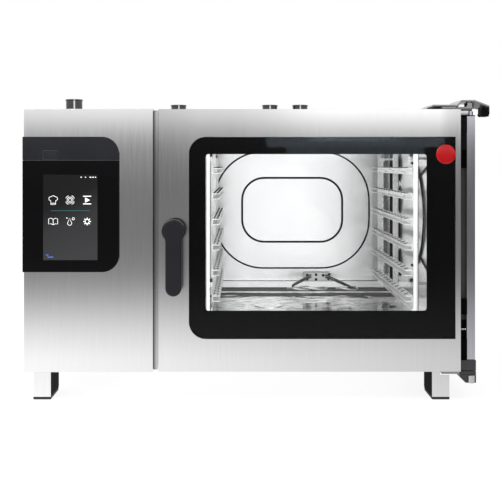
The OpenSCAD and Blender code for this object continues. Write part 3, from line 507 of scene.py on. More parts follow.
def painted_sheen_screen():
    """Dark display behind glass, with a broad painted sheen: its colour is painted lighter along a diagonal across
    it.
    """
    material, tree, shader = principled("screen", {"Roughness": 0.12, "IOR": 1.35})
    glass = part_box("display_glass")
    across, up = share_along(tree, glass, "X"), share_along(tree, glass, "Z")
    diagonal = maths(tree, "SUBTRACT", 0.85, maths(tree, "ADD", up, maths(
        tree, "MULTIPLY", across, -0.3)))
    drift = between(tree, noise(tree, (5, 5, 5), 2), -0.04, 0.04)
    # Painted sheen: a lighter base colour along a diagonal
    sheen = ramp(tree, maths(tree, "ADD", diagonal, drift),
                 [(0.0, (0.011, 0.011, 0.012)), (0.25, (0.014, 0.014, 0.015)),
                  (0.55, (0.040, 0.040, 0.042)), (1.0, (0.052, 0.052, 0.055))])
    link(tree, sheen, shader.inputs["Base Color"])
    return material


CASING = (0.776, 0.775, 0.779)
steel("casing_steel", CASING, 0.14, brushed=0.9, height=0.003 * MM, spread=0.025)
door_steel_painted_reflection()
gutter_steel_painted_shade()
steel("foot_steel", (0.8, 0.8, 0.8), 0.34, brushed=0.3)
# Painted shade for the feet's inner cheeks, and the dark colour of the bar's upper block
moulded("dark_block_and_painted_foot_shade", (0.008, 0.008, 0.009), 0.9, index=1.15)
moulded("pad_rubber", (0.012, 0.012, 0.013), 0.7)
moulded("bezel_black", (0.0016, 0.0016, 0.0022), 0.08, 300, 0.001 * MM, index=1.33)
moulded("strip_black", (0.015, 0.0155, 0.021), 0.14, 300, 0.002 * MM, index=1.4)
moulded("flap_black", (0.0155, 0.016, 0.021), 0.2, 300, 0.002 * MM, index=1.4)
chamber_steel("chamber_steel", (0.95, 0.95, 0.95), 0.2)
# Painted shade: a darker copy of the chamber steel for the rear wall and the suction panel
chamber_steel("chamber_rear_painted_shade", (0.8, 0.805, 0.81), 0.24)
floor_with_painted_reflection()
steel("rack_steel", (0.9, 0.9, 0.9), 0.3, (300, 12, 300), brushed=0, metallic=0.6)
steel("rod_steel", (0.12, 0.115, 0.11), 0.22, brushed=0)
steel("fan_steel", (0.62, 0.62, 0.62), 0.3, brushed=0)
moulded("mineral_wool", (0.5, 0.42, 0.2), 0.95, 120, 1.5 * MM, 0.3)
moulded("motor_grey", (0.14, 0.15, 0.16), 0.4)
steel("heater_steel", (0.2, 0.19, 0.18), 0.4, brushed=0)
steel("vessel_steel", (0.62, 0.63, 0.65), 0.3)
moulded("circuit_board", (0.02, 0.2, 0.08), 0.5, 400, 0.1 * MM, 0.4)
moulded("contactor_grey", (0.22, 0.23, 0.24), 0.5)
moulded("small_fan_black", (0.016, 0.016, 0.018), 0.45)
moulded("valve_grey", (0.1, 0.12, 0.15), 0.5)
steel("brass", (0.72, 0.5, 0.2), 0.28, (400, 60, 400), brushed=0)
steel("pipe_steel", (0.075, 0.075, 0.075), 0.1, (300, 300, 700), brushed=0)
moulded("gasket_rubber", (0.012, 0.012, 0.012), 0.6)
steel("latch_steel", (0.6, 0.6, 0.6), 0.25, brushed=0)
steel("hinge_steel", (0.34, 0.34, 0.345), 0.2, (40, 400, 400), brushed=0)
moulded("hinge_dark", (0.03, 0.03, 0.033), 0.4)
moulded("hook_black", (0.004, 0.004, 0.0045), 0.5, index=1.2)
moulded("gland_black", (0.016, 0.016, 0.018), 0.5)
pane("door_glass", (0.99, 0.992, 0.992), 1.3)
moulded("black_enamel", (0.0016, 0.0016, 0.002), 0.3, 60, 0.002 * MM, index=1.1)
lit("lamp_cover", (1.0, 0.99, 0.97), 1.6)
moulded("badge_red", (0.58, 0.006, 0.009), 0.16, 300, 0.002 * MM, index=1.4)
steel("guide_steel", (0.56, 0.555, 0.6), 0.14, brushed=0.9)
moulded("handle_black", (0.0105, 0.0098, 0.014), 0.36, 1400, 0.03 * MM, index=1.35)
# Painted shade: the dark colour of the chamber's beads, pips, fold lines, fins and ring stands in for shade and
# dark reflections; the clip plate's bolts use it too
moulded("dark_and_painted_shade", (0.006, 0.006, 0.007), 0.7, 300, 0.01 * MM, index=1.2)
lit("icon_white", (0.9, 0.9, 0.9), 0.75)
lit("icon_teal", (0.012, 0.1, 0.12), 0.5)
lit("icon_blue", (0.05, 0.2, 0.7), 0.5)
moulded("block_black", (0.002, 0.002, 0.0022), 0.8, index=1.1)
moulded("web_grey", (0.042, 0.042, 0.043), 0.55)
# Painted shade in the recess under the chamber's rear step
moulded("painted_recess_shade", (0.1, 0.1, 0.1), 0.4, 200, 0.02 * MM, 0.4)
steel("plate_silver", (0.6, 0.6, 0.6), 0.4, (60, 60, 60), brushed=0)
moulded("ink", (0.02, 0.02, 0.022), 0.6)
M["display"] = painted_sheen_screen()


# ---- Shapes ----

def block(low, high, edge=0.6 * MM, segments=2):
    """Box between two corners with rounded edges."""
    low, high = Vector(low), Vector(high)
    shape = bmesh.new()
    bmesh.ops.create_cube(shape, size=1)
    size = high - low
    bmesh.ops.transform(shape, verts=shape.verts, matrix=(
        Matrix.Translation((low + high) / 2) @ Matrix.Diagonal((*size, 1))))
    if edge > 0:
        bmesh.ops.bevel(shape, geom=shape.edges[:], offset=min(edge, min(size) * 0.45),
                        segments=segments, profile=0.5, affect="EDGES")
    return shape


def soften(shape, edge, segments=2, least_angle=math.radians(28)):
    """Rounds every crisp edge of a shape."""
    bmesh.ops.remove_doubles(shape, verts=shape.verts, dist=1e-6)
    bmesh.ops.dissolve_limit(shape, angle_limit=math.radians(0.4), verts=shape.verts,
                             edges=shape.edges)
    crisp = [e for e in shape.edges
             if len(e.link_faces) == 2 and e.calc_face_angle(0) > least_angle]
    bmesh.ops.bevel(shape, geom=crisp, offset=edge, segments=segments, profile=0.5,
                    affect="EDGES", clamp_overlap=True)
    return shape


def directions(count):
    """Cosine and sine of evenly spread angles of a full turn."""
    angles = [math.tau * i / count for i in range(count)]
    return [(math.cos(angle), math.sin(angle)) for angle in angles]


def bridge(shape, first, second, turn=0):
    """Faces between two rings of corners; either ring may be a single corner."""
    for i in range(max(len(first), len(second))):
        corners = [first[i % len(first)], first[(i + 1) % len(first)],
                   second[(i + 1 + turn) % len(second)], second[(i + turn) % len(second)]]
        unique = list(dict.fromkeys(corners))
        if len(unique) > 2:
            shape.faces.new(unique)


PLANES = {"XZ": lambda u, v, d: (u, d, v), "YZ": lambda u, v, d: (d, u, v),
          "XY": lambda u, v, d: (u, v, d)}


def prism(loops, plane, start, end, edge=0.5 * MM, segments=2):
    """Solid with an outline and any number of holes, from start to end across the plane."""
    shape = bmesh.new()
    place = PLANES[plane]
    flat = [[Vector((u, v, 0)) for u, v in loop] for loop in loops]
    triangles = tessellate_polygon([[point * 1000 for point in loop] for loop in flat])
    rings = []
    for depth in (start, end):
        rings.append([shape.verts.new(place(p.x, p.y, depth)) for loop in flat for p in loop])
    for ring in rings:
        for triangle in triangles:
            shape.faces.new([ring[i] for i in triangle])
    first = 0
    for loop in flat:
        last = first + len(loop)
        bridge(shape, *(ring[first:last] for ring in rings))
        first = last
    bmesh.ops.recalc_face_normals(shape, faces=shape.faces)
    if edge > 0:
        soften(shape, edge, segments, math.radians(50))
    return shape


def evenly(low, high, count):
    """Values at even steps, from low to high."""
    return [low + (high - low) * i / (count - 1) for i in range(count)]


def arc(centre, radius, start, end, steps=8):
    """Points on a circle from one angle to another, in degrees."""
    return [(centre[0] + radius * math.cos(math.radians(start + (end - start) * i / steps)),
             centre[1] + radius * math.sin(math.radians(start + (end - start) * i / steps)))
            for i in range(steps + 1)]


def rounded(low, high, radii, steps=8):
    """Rectangle with a radius for its lower left, lower right, upper right and upper left."""
    corners = [(low[0], low[1], 1, 1, 180), (high[0], low[1], -1, 1, 270),
               (high[0], high[1], -1, -1, 0), (low[0], high[1], 1, -1, 90)]
    points = []
    for (x, y, dx, dy, start), radius in zip(corners, radii):
        if radius <= 0:
            points.append((x, y))
        else:
            points += arc((x + dx * radius, y + dy * radius), radius, start, start + 90, steps)
    return points


def lathe(profile, axis, centre, turns=40):
    """Solid of revolution; profile holds (radius, distance along the axis) points."""
    shape = bmesh.new()
    along, side = Vector((0, 0, 0)), Vector((0, 0, 0))
    index = "XYZ".index(axis)
    along[index] = side[(index + 1) % 3] = 1
    other = along.cross(side)
    rings = []
    for radius, distance in profile:
        base = Vector(centre) + along * distance
        rings.append([shape.verts.new(base + (side * x + other * y) * radius)
                      for x, y in (directions(turns) if radius > 0 else [(0, 0)])])
    for first, second in zip(rings, rings[1:]):
        bridge(shape, first, second)
    bmesh.ops.recalc_face_normals(shape, faces=shape.faces)
    return shape


def turned(profile, axis, centre, turns=40, start=0.0):
    """Solid of revolution; its profile is in millimetres, along the axis from start."""
    return lathe([(radius * MM, start + distance * MM) for radius, distance in profile],
                 axis, centre, turns)


def tube(points, radius, closed=False, sides=12):
    """Round bar along points, with flat ends unless it is closed."""
    shape = bmesh.new()
    points = [Vector(p) for p in points]
    count = len(points)
    rings = []
    normal = None
    for i, point in enumerate(points):
        before = points[i - 1] if closed or i > 0 else point
        after = points[(i + 1) % count] if closed or i < count - 1 else point
        tangent = (after - before).normalized()
        if normal is None:
            normal = tangent.orthogonal().normalized()
        normal = (normal - tangent * normal.dot(tangent)).normalized()
        other = tangent.cross(normal)
        rings.append([shape.verts.new(point + (normal * x + other * y) * radius)
                      for x, y in directions(sides)])
    for first, second in zip(rings, rings[1:]):
        bridge(shape, first, second)
    if closed:
        turn = min(range(sides), key=lambda t: (rings[-1][0].co - rings[0][t].co).length)
        bridge(shape, rings[-1], rings[0], turn)
    else:
        shape.faces.new(rings[0])
        shape.faces.new(rings[-1])
    bmesh.ops.recalc_face_normals(shape, faces=shape.faces)
    return shape


def hexagon(centre, radius, axis, start, end, edge=0.5 * MM):
    """Hexagon bar along an axis, for nuts and screw heads."""
    u, v = {"XZ": (0, 2), "YZ": (1, 2), "XY": (0, 1)}[axis]
    points = [(centre[u] + radius * x, centre[v] + radius * y) for x, y in directions(6)]
    return prism([points], axis, start, end, edge)


def joined(shapes):
    """One shape of several, each of which is used up."""
    whole = bmesh.new()
    for shape in shapes:
        mesh = bpy.data.meshes.new("part")
        shape.to_mesh(mesh)
        shape.free()
        whole.from_mesh(mesh)
        bpy.data.meshes.remove(mesh)
    return whole


def piece(name, shapes, body, slot, replaces=(), finish=None, smooth=40):
    """A new piece that rides on a body, from one shape or a list of them."""
    shape = joined(shapes) if isinstance(shapes, list) else shapes
    mesh = bpy.data.meshes.new(name)
    shape.to_mesh(mesh)
    shape.free()
    mesh.shade_smooth()
    mesh.set_sharp_from_angle(angle=math.radians(smooth))
    mesh.materials.append(M[finish or slot])
    obj = bpy.data.objects.new(name, mesh)
    bpy.context.scene.collection.objects.link(obj)
    weighted = obj.modifiers.new("normals", "WEIGHTED_NORMAL")
    weighted.keep_sharp = True
    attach(obj, body)
    if replaces:
        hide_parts(*replaces)
    return obj


def cad_shape(node):
    """A copy of a CAD node's shape."""
    shape = bmesh.new()
    shape.from_mesh(frame["nodes"][node].data)
    return shape


def edged_each(edges):
    """Stands for several CAD nodes, each with its own edge in millimetres."""
    for node, edge in edges.items():
        edged(node, edge * MM)


def edged(node, edge=0.5 * MM, segments=2, extra=()):
    """Stands for a CAD node: the same shape with its edges rounded."""
    shape = soften(cad_shape(node), edge, segments)
    return piece(node + "_edged", [shape, *extra], BODY_OF[node], SLOT_OF[node], (node,))


# ---- Casing ----

def casing():
    """Outer sheets, feet and pads."""
    for node in ("top_cover", "left_side_panel", "right_side_panel", "column_front_panel",
                 "cabinet_front_frame", "base_tray", "rear_panel"):
        edged(node, 0.6 * MM)
    edged("gutter_strip", 0.3 * MM).data.materials[0] = M["gutter_steel_painted_shade"]
    for node in ("rear_left_foot", "rear_right_foot", "front_left_foot", "front_right_foot"):
        foot(node)
    edged("foot_pads", 1.2 * MM)
    foot_lips()


def foot(node):
    """Foot with rounded folds; its inner cheek is painted dark as painted shade, for the shade under the machine.
    """
    obj = edged(node, 0.8 * MM)
    low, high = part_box(node)
    outer_is_left = (low.x + high.x) < 0
    obj.data.materials.append(M["dark_block_and_painted_foot_shade"])
    cheek_x = high.x - 4 * MM if outer_is_left else low.x + 4 * MM
    # Painted shade: the inner cheek faces take the dark material
    for face in obj.data.polygons:
        middle = sum((obj.data.vertices[i].co for i in face.vertices), Vector()) \
            / len(face.vertices)
        in_painted_shade = middle.x > cheek_x if outer_is_left else middle.x < cheek_x
        if in_painted_shade and abs(face.normal.x) > 0.8:
            face.material_index = 1


def foot_lips():
    """Rubber lip of each pad, which wraps the lower edge of its foot."""
    lips = []
    out = 0.4 * MM
    for node in ("front_left_foot", "front_right_foot", "rear_left_foot", "rear_right_foot"):
        low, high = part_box(node)
        lips.append(block((low.x - out, low.y - out, 0.6 * MM),
                          (high.x + out, high.y - 8 * MM, 7.5 * MM), 1.2 * MM, 3))
    piece("foot_pad_lips", lips, "cabinet", "pad_rubber")


# Radius and height in millimetres: the rim from the pipe's top, the collar from the cover
PIPE_RIM = [(20.5, -1), (20.5, 0), (23.3, 0), (24.1, -1), (24.1, -3), (23.3, -4), (22, -4)]
PIPE_COLLAR = [(22.5, 9), (24, 8), (25, 3), (29.5, 1.6), (30.5, 0.2), (22.5, 0.2)]


def pipes():
    """Pipe ends on the top, each with a rolled rim and a collar at the cover."""
    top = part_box("vent_pipes")[1].z
    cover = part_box("top_cover")[1].z
    parts = [cad_shape("vent_pipes")]
    for x, y in pipe_centres():
        parts.append(turned(PIPE_RIM, "Z", (x, y, 0), start=top))
        parts.append(turned(PIPE_COLLAR, "Z", (x, y, 0), start=cover))
    piece("vent_pipe_ends", parts, "cabinet", "pipe_steel", ("vent_pipes",))


def pipe_centres():
    """X and Y of the four pipe sockets in the record."""
    mounts = {m["name"]: m["pos_m"] for m in frame["record"]["mounts"]}
    return [mounts[n][:2] for n in ("column_vent", "safety_vent", "air_inlet", "steam_outlet")]


def screw(place, axis, radius=3.5 * MM, outward=1):
    """Pan head screw with its face outward along the axis."""
    profile = [(0, 0.7), (0.28, 0.7), (0.3, 0.2), (0.36, 0.2), (0.38, 0.68), (0.7, 0.62),
               (0.95, 0.35), (1.0, 0.0)]
    return lathe([(r * radius, outward * h * radius * 0.7) for r, h in profile], axis, place, 16)


def screws():
    """Rows of screws that hold the rear panel, the sides and the cover."""
    low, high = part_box("rear_panel")
    inset = 12 * MM
    left, right = low.x + inset, high.x - inset
    bottom, top = low.z + inset, high.z - inset
    places = [(x, z) for x in evenly(left, right, 8) for z in (bottom, top)]
    places += [(x, z) for z in evenly(bottom, top, 6)[1:-1] for x in (left, right)]
    piece("rear_screws", [screw((x, high.y, z), "Y") for x, z in places],
          "cabinet", "latch_steel")
    side_low, side_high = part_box("left_side_panel")
    right_low, right_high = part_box("right_side_panel")
    shapes = []
    for y in evenly(side_low.y + 60 * MM, side_high.y - 30 * MM, 5):
        for z in (side_low.z + inset, side_high.z - inset):
            shapes.append(screw((side_low.x, y, z), "X", outward=-1))
            if y > right_low.y + inset:
                shapes.append(screw((right_high.x, y, z), "X"))
    piece("side_screws", shapes, "cabinet", "latch_steel")
    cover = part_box("top_cover")[1]
    shapes = [screw((x, y, cover.z), "Z")
              for x in (side_low.x + 14 * MM, 0, right_high.x - 60 * MM)
              for y in (side_high.y - 14 * MM, side_high.y - 420 * MM)]
    piece("cover_screws", shapes, "cabinet", "latch_steel")


def rear_details():
    """Rating plate and fan guard on the rear panel."""
    low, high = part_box("rear_panel")
    back = high.y
    plate_low = (low.x + 0.42, low.z + 0.36)
    plate_high = (plate_low[0] + 0.13, plate_low[1] + 0.085)
    face = back + 0.8 * MM
    piece("rating_plate", prism([rounded(plate_low, plate_high, [4 * MM] * 4)], "XZ",
                                back, face, 0.3 * MM), "cabinet", "casing_steel",
          finish="plate_silver")
    lines = []
    for row in range(7):
        x, z = plate_low[0] + 8 * MM, plate_high[1] - (12 + row * 10) * MM
        length = (0.5 + 0.4 * math.sin(2.3 * row + 1) ** 2) * 0.11
        lines.append(block((x, face, z), (x + length, back + 1.0 * MM, z + 2.5 * MM), 0))
    piece("rating_plate_lines", lines, "cabinet", "gasket_rubber", finish="ink")
    house_low, house_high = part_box("cooling_fan_housing")
    centre = (house_low.x + house_high.x) / 2, (house_low.z + house_high.z) / 2
    guard = [tube([(x, back + 2.5 * MM, z) for x, z in arc(centre, radius * MM, 0, 351, 39)],
                  1.1 * MM, True, 8) for radius in (12, 22, 32, 42, 52)]
    for angle in (45, 135, 225, 315):
        inner, outer = (arc(centre, radius * MM, angle, angle, 1)[0] for radius in (12, 66))
        guard.append(tube([(x, back + 1.6 * MM, z) for x, z in (inner, outer)],
                          1.3 * MM, sides=8))
        guard.append(screw((outer[0], back + 1.5 * MM, outer[1]), "Y", 5 * MM))
    piece("column_fan_guard", guard, "cabinet", "latch_steel")


# ---- Controls ----

def controls():
    """Bezel, display and service strip, and the thin rim round the port's flap."""
    edged_each({"control_bezel": 0.5, "service_strip": 0.5, "display_glass": 0.3,
                "port_flap": 0.4})
    low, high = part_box("port_flap")
    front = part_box("service_strip")[0].y
    gap = 1.2 * MM
    rim = rounded((low.x - gap, low.z - gap), (high.x + gap, high.z + gap), [2 * MM] * 4, 4)
    piece("port_flap_rim", line_art(rim, front, True, 0.7 * MM), "cabinet", "strip_black",
          finish="web_grey")
    icons()


def line_art(points, front, closed=False, radius=0.6 * MM):
    """Thin raised line on the display."""
    shape = tube([(x, front, z) for x, z in points], radius, closed, 8)
    for vertex in shape.verts:
        vertex.co.y = front + (vertex.co.y - front) * 0.3
    return shape


def icons():
    """Plain symbols on the display: two rows of three, a divider and small marks."""
    low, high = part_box("display_glass")
    front = low.y
    width, height = high.x - low.x, high.z - low.z
    columns = [low.x + width * share for share in (0.185, 0.496, 0.81)]
    rows = [low.z + height * share for share in (0.704, 0.453)]
    size = 11.5 * MM
    shapes = []

    def draw(column, row, points, closed=False, radius=0.6 * MM):
        """A line of one symbol, in shares of the symbol's half width."""
        shapes.append(line_art([(columns[column] + x * size, rows[row] + z * size)
                                for x, z in points], front, closed, radius))

    def circle(centre, radius):
        """24 points, for a closed line."""
        return arc(centre, radius, 0, 360 - 15, 23)

    # A cook's cap
    draw(0, 0, [(-0.55, -1), (0.55, -1), (0.55, -0.1)] + arc((0.55, 0.3), 0.42, -60, 80)
         + arc((0, 0.55), 0.42, 35, 145) + arc((-0.55, 0.3), 0.42, 100, 240)
         + [(-0.55, -0.1)], True)
    draw(0, 0, [(-0.55, -0.7), (0.55, -0.7)])
    # A dish seen from above, with four short arcs round it
    draw(1, 0, circle((0, 0), 0.66), True)
    draw(1, 0, circle((0, 0), 0.36), True)
    for start in (20, 110, 200, 290):
        draw(1, 0, arc((0, 0), 1.02, start, start + 50, 5))
    # A start mark: a triangle between two bars
    shapes.append(prism([[(columns[2] - 0.45 * size, rows[0] - 0.6 * size),
                          (columns[2] + 0.6 * size, rows[0]),
                          (columns[2] - 0.45 * size, rows[0] + 0.6 * size)]],
                        "XZ", front - 0.2 * MM, front + 0.2 * MM, 0))
    for z in (-0.85, 0.85):
        draw(2, 0, [(-0.9, z), (0.9, z)], radius=1.1 * MM)
    # An open book
    draw(0, 1, [(-1, -0.6), (-1, 0.6), (-0.55, 0.74), (0, 0.5), (0.55, 0.74), (1, 0.6),
                (1, -0.6), (0.55, -0.5), (0, -0.72), (-0.55, -0.5)], True)
    draw(0, 1, [(0, 0.5), (0, -0.72)])
    # Drops
    draw(1, 1, [(-0.1, 0.7)] + arc((-0.1, -0.4), 0.46, 150, 390, 14), True)
    draw(1, 1, circle((0.72, 0.6), 0.26), True)
    draw(1, 1, circle((-0.7, 0.75), 0.08), True)
    # A toothed wheel
    draw(2, 1, circle((0, 0), 0.45), True, 0.9 * MM)
    for x, z in directions(8):
        draw(2, 1, [(0.55 * x, 0.55 * z), (0.84 * x, 0.84 * z)], radius=1.2 * MM)
    # Small status marks at the top
    for share, length in ((0.70, 1.6), (0.78, 1.2), (0.87, 2.2), (0.92, 2.2), (0.965, 1.4)):
        x, z = low.x + width * share, low.z + height * 0.972
        shapes.append(line_art([(x - length * MM, z), (x + length * MM, z)], front,
                               radius=1.0 * MM))
    piece("display_symbols", shapes, "cabinet", "display", finish="icon_white")
    z = low.z + height * 0.579
    piece("display_divider", line_art([(low.x + width * 0.14, z), (low.x + width * 0.86, z)],
                                      front), "cabinet", "display", finish="icon_teal")
    marks = [line_art([(low.x + width * a, low.z + height * b),
                       (low.x + width * c, low.z + height * b)], front, radius=0.9 * MM)
             for a, b, c in ((0.05, 0.06, 0.1), (0.08, 0.035, 0.19))]
    piece("display_corner_mark", marks, "cabinet", "display", finish="icon_blue")


# ---- Door ----

# Blocks between door and bar: from and to in millimetres above the floor, and half depth
GUIDE_BLOCKS = [(104, 158, 14), (221, 260, 14), (158, 204, 5), (599, 645, 5)]
# The upper block's ribs, in millimetres above the floor
GUIDE_RIBS = (694, 700, 706, 722)


def door():
    """Door sheets, the round badge and the bar beside the door."""
    skin = edged("door_skin", 0.7 * MM)
    skin.data.materials[0] = M["door_steel_painted_reflection"]
    edged("door_inner_frame", 0.7 * MM)
    edged("door_channels", 0.5 * MM)
    low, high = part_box("door_badge")
    centre = (low + high) / 2
    radius = (high.x - low.x) / 2
    thick = high.y - low.y
    piece("door_badge_disc", lathe(
        [(0, -thick), (0.55 * radius, -thick * 0.98), (0.85 * radius, -thick * 0.86),
         (0.95 * radius, -thick * 0.6), (radius, -thick * 0.2), (radius, 0), (0, 0)],
        "Y", (centre.x, high.y, centre.z), 56), "door", "badge_red", ("door_badge",))
    guide_bar()


def guide_bar():
    """Bar beside the door, its fixing blocks and the dark web between bar and door."""
    low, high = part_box("door_guide_bar")
    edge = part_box("door_skin")[1].x
    left, right = HINGE.x - 7.5 * MM, HINGE.x + 14 * MM
    bar_z = (low.z + 27 * MM, high.z - 12 * MM)
    cap = bar_z[1] + 0.5 * MM

    def part(x, y, z, edge_radius=1.0, segments=2):
        """Block by its spans; Y is in millimetres from the hinge's axis."""
        return block((x[0], HINGE.y + y[0] * MM, z[0]), (x[1], HINGE.y + y[1] * MM, z[1]),
                     edge_radius * MM, segments)

    def heights(start, end):
        """A span from millimetres above the floor."""
        return start * MM, end * MM

    piece("guide_bar_profile", [
        part((left, right), (-11, 11), bar_z, 1.2, 3),
        part((edge + 2 * MM, HINGE.x - 3 * MM), (-9, 9), (cap, high.z), 0.8),
        turned([(0, -11.5), (4, -11.5), (4, -0.6), (3.4, 0), (0, 0)],
               "Z", (HINGE.x + 4 * MM, HINGE.y, 0), 24, high.z)],
        "door", "guide_steel", ("door_guide_bar",))
    piece("guide_bar_backing", [
        part((edge, right - 1 * MM), (9.5, 11), (cap, high.z - 0.5 * MM), 0.3),
        part((edge, right), (-11, 11), (bar_z[1] - 2.5 * MM, cap), 0.4)],
        "door", "hinge_dark", finish="block_black")
    piece("guide_bar_web", part((edge, left), (6, 9), bar_z, 0.3),
          "door", "guide_steel", finish="web_grey")
    blocks = [part((edge, left), (-deep, deep), heights(start, end))
              for start, end, deep in GUIDE_BLOCKS]
    piece("guide_bar_blocks", blocks, "door", "hinge_dark", finish="block_black")
    upper = [part((edge + 1 * MM, left - 1 * MM), (-14, 14), heights(690, 729))]
    upper += [part((edge + 3 * MM, left - 3 * MM), (-14.6, -13), heights(z, z + 2.5), 0.5)
              for z in GUIDE_RIBS]
    upper.append(part((edge, left), (-10, 14), heights(645, 690)))
    piece("guide_bar_upper_block", upper, "door", "hinge_dark", finish="dark_block_and_painted_foot_shade")
    bolts = [turned([(0, 0), (2.2, 0), (2.8, 0.6), (2.8, 4), (2.2, 4.6), (0, 4.6)], "X",
                    (edge + start * MM, HINGE.y - 8 * MM, 183 * MM), 20)
             for start in (0.6, 6.4, 12.2)]
    bolts.append(part((edge + 0.2 * MM, edge + 2 * MM), (-12, -2), heights(128, 156), 0.4))
    piece("guide_bar_bolts", bolts, "door", "latch_steel")
    outer = HINGE.x + 15 * MM
    outline = [(edge, bar_z[0]), (edge, low.z + 1 * MM), (outer, low.z), (outer, bar_z[0])]
    piece("guide_bar_shoe", prism([outline], "XZ", HINGE.y - 16 * MM, HINGE.y + 16 * MM,
                                  1 * MM), "door", "hinge_dark")


def handle():
    """Lever with a round hub, a waisted joint and a round end, with a soft front edge."""
    low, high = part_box("door_handle")
    hub, half = (high.x - low.x) / 2, 20 * MM
    length = SPINDLE.z - low.z
    front = low.y
    fillet = 16 * MM
    # The fillet's circle touches the hub and the lever's side
    side = half + fillet
    drop = math.sqrt((hub + fillet) ** 2 - side ** 2)
    meet = math.degrees(math.atan2(-drop, side))
    right = arc((0, 0), hub, 90, meet, 26)
    right += arc((side, -drop), fillet, 180 + meet, 180, 8)[1:]
    end_z = -length + half
    right += arc((0, end_z), half, 0, -90, 14)
    left = [(-x, z) for x, z in reversed(right[1:-1])]
    outline = [(SPINDLE.x + x, SPINDLE.z + z) for x, z in right + left]
    depth = 18 * MM
    shape = bmesh.new()
    rings = []
    steps = 6
    round_edge = 5 * MM
    count = len(outline)
    inward = []
    for i, (x, z) in enumerate(outline):
        px, pz = outline[i - 1]
        nx, nz = outline[(i + 1) % count]
        tangent = Vector((nx - px, nz - pz)).normalized()
        inward.append(Vector((tangent.y, -tangent.x)))
    levels = [(0.8 * MM, front + depth), (0.0, front + depth - 0.8 * MM)]
    for step in range(steps + 1):
        angle = RIGHT_ANGLE * step / steps
        levels.append((round_edge * (1 - math.cos(angle)),
                       front + round_edge * (1 - math.sin(angle))))
    for inset, y in levels:
        rings.append([shape.verts.new((x + v.x * inset, y, z + v.y * inset))
                      for (x, z), v in zip(outline, inward)])
    for first, second in zip(rings, rings[1:]):
        bridge(shape, first, second)
    shape.faces.new(rings[0])
    shape.faces.new(rings[-1])
    bmesh.ops.recalc_face_normals(shape, faces=shape.faces)
    neck = lathe([(14 * MM, front + depth - 4 * MM), (18 * MM, front + depth),
                  (18 * MM, high.y - 16 * MM), (19 * MM, high.y - 12 * MM),
                  (21 * MM, high.y - 9 * MM), (21 * MM, high.y), (9.2 * MM, high.y)],
                 "Y", (SPINDLE.x, 0, SPINDLE.z))
    piece("handle_lever", [shape, neck], "handle", "handle_black", ("door_handle",), smooth=50)


# ---- Hinge side ----

# From and to in millimetres above the floor
ARM_CAP = (67.2, 75.8)
RAIL_END_BLOCK = (734, 757)
# The top bracket's rolled edge: X from the hinge's axis and height, in millimetres
ROLLED_EDGE = [(-35, 755), (-23, 771), (11, 771), (48, 756)]


def hinge():
    """Brackets and rails above and below the door, with their caps, bolts and boss."""
    edged_each({"top_hinge_bracket": 1.0, "rail_end_hook": 1.2, "top_side_rail": 0.9,
                "bottom_hinge_bracket": 1.0, "bottom_side_rail": 0.9, "swing_arms": 0.7,
                "latch_striker": 0.5})
    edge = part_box("door_skin")[1].x
    piece("bottom_arm_cap",
          block((edge - 1 * MM, HINGE.y - 16 * MM, ARM_CAP[0] * MM),
                (HINGE.x + 15 * MM, HINGE.y + 16 * MM, ARM_CAP[1] * MM), 0.8 * MM),
          "swing", "hinge_dark")
    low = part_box("top_hinge_bracket")[0]
    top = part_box("top_side_rail")[1].z - 1.4 * MM
    bolts = []
    for y in (60, 108):
        place = (low.x + 18 * MM, low.y + y * MM, 0)
        bolts.append(hexagon(place, 7 * MM, "XY", top, top + 5 * MM))
        bolts.append(turned([(0, 0.2), (9, 0.2), (9, 1.4), (0, 1.4)], "Z", place, 24, top))
    piece("top_bracket_bolts", bolts, "cabinet", "latch_steel")
    rib = tube([(HINGE.x + x * MM, low.y + 2.5 * MM, z * MM) for x, z in ROLLED_EDGE],
               2.2 * MM, sides=10)
    piece("top_bracket_rolled_edge", rib, "cabinet", "hinge_steel", finish="hinge_dark")
    low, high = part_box("rail_end_hook")
    inset = 1 * MM
    piece("rail_end_block",
          block((low.x + inset, low.y + inset, RAIL_END_BLOCK[0] * MM),
                (high.x - inset, high.y - inset, RAIL_END_BLOCK[1] * MM), 1.5 * MM),
          "cabinet", "hook_black")
    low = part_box("bottom_hinge_bracket")[0]
    boss = turned([(0, 0.5), (7.5, 0.5), (8.5, 1.5), (8.5, 19), (7.5, 20), (0, 20)],
                  "Z", (HINGE.x + 2 * MM, low.y - 2 * MM, 0), 24, low.z)
    piece("bottom_bracket_boss", boss, "cabinet", "latch_steel")


# ---- Cooking chamber ----

LEVELS = 7
LEVEL_Z = 250 * MM
PITCH = 68 * MM
RUNNER = 15 * MM
# Pairs of pips along each runner
PIPS = 12


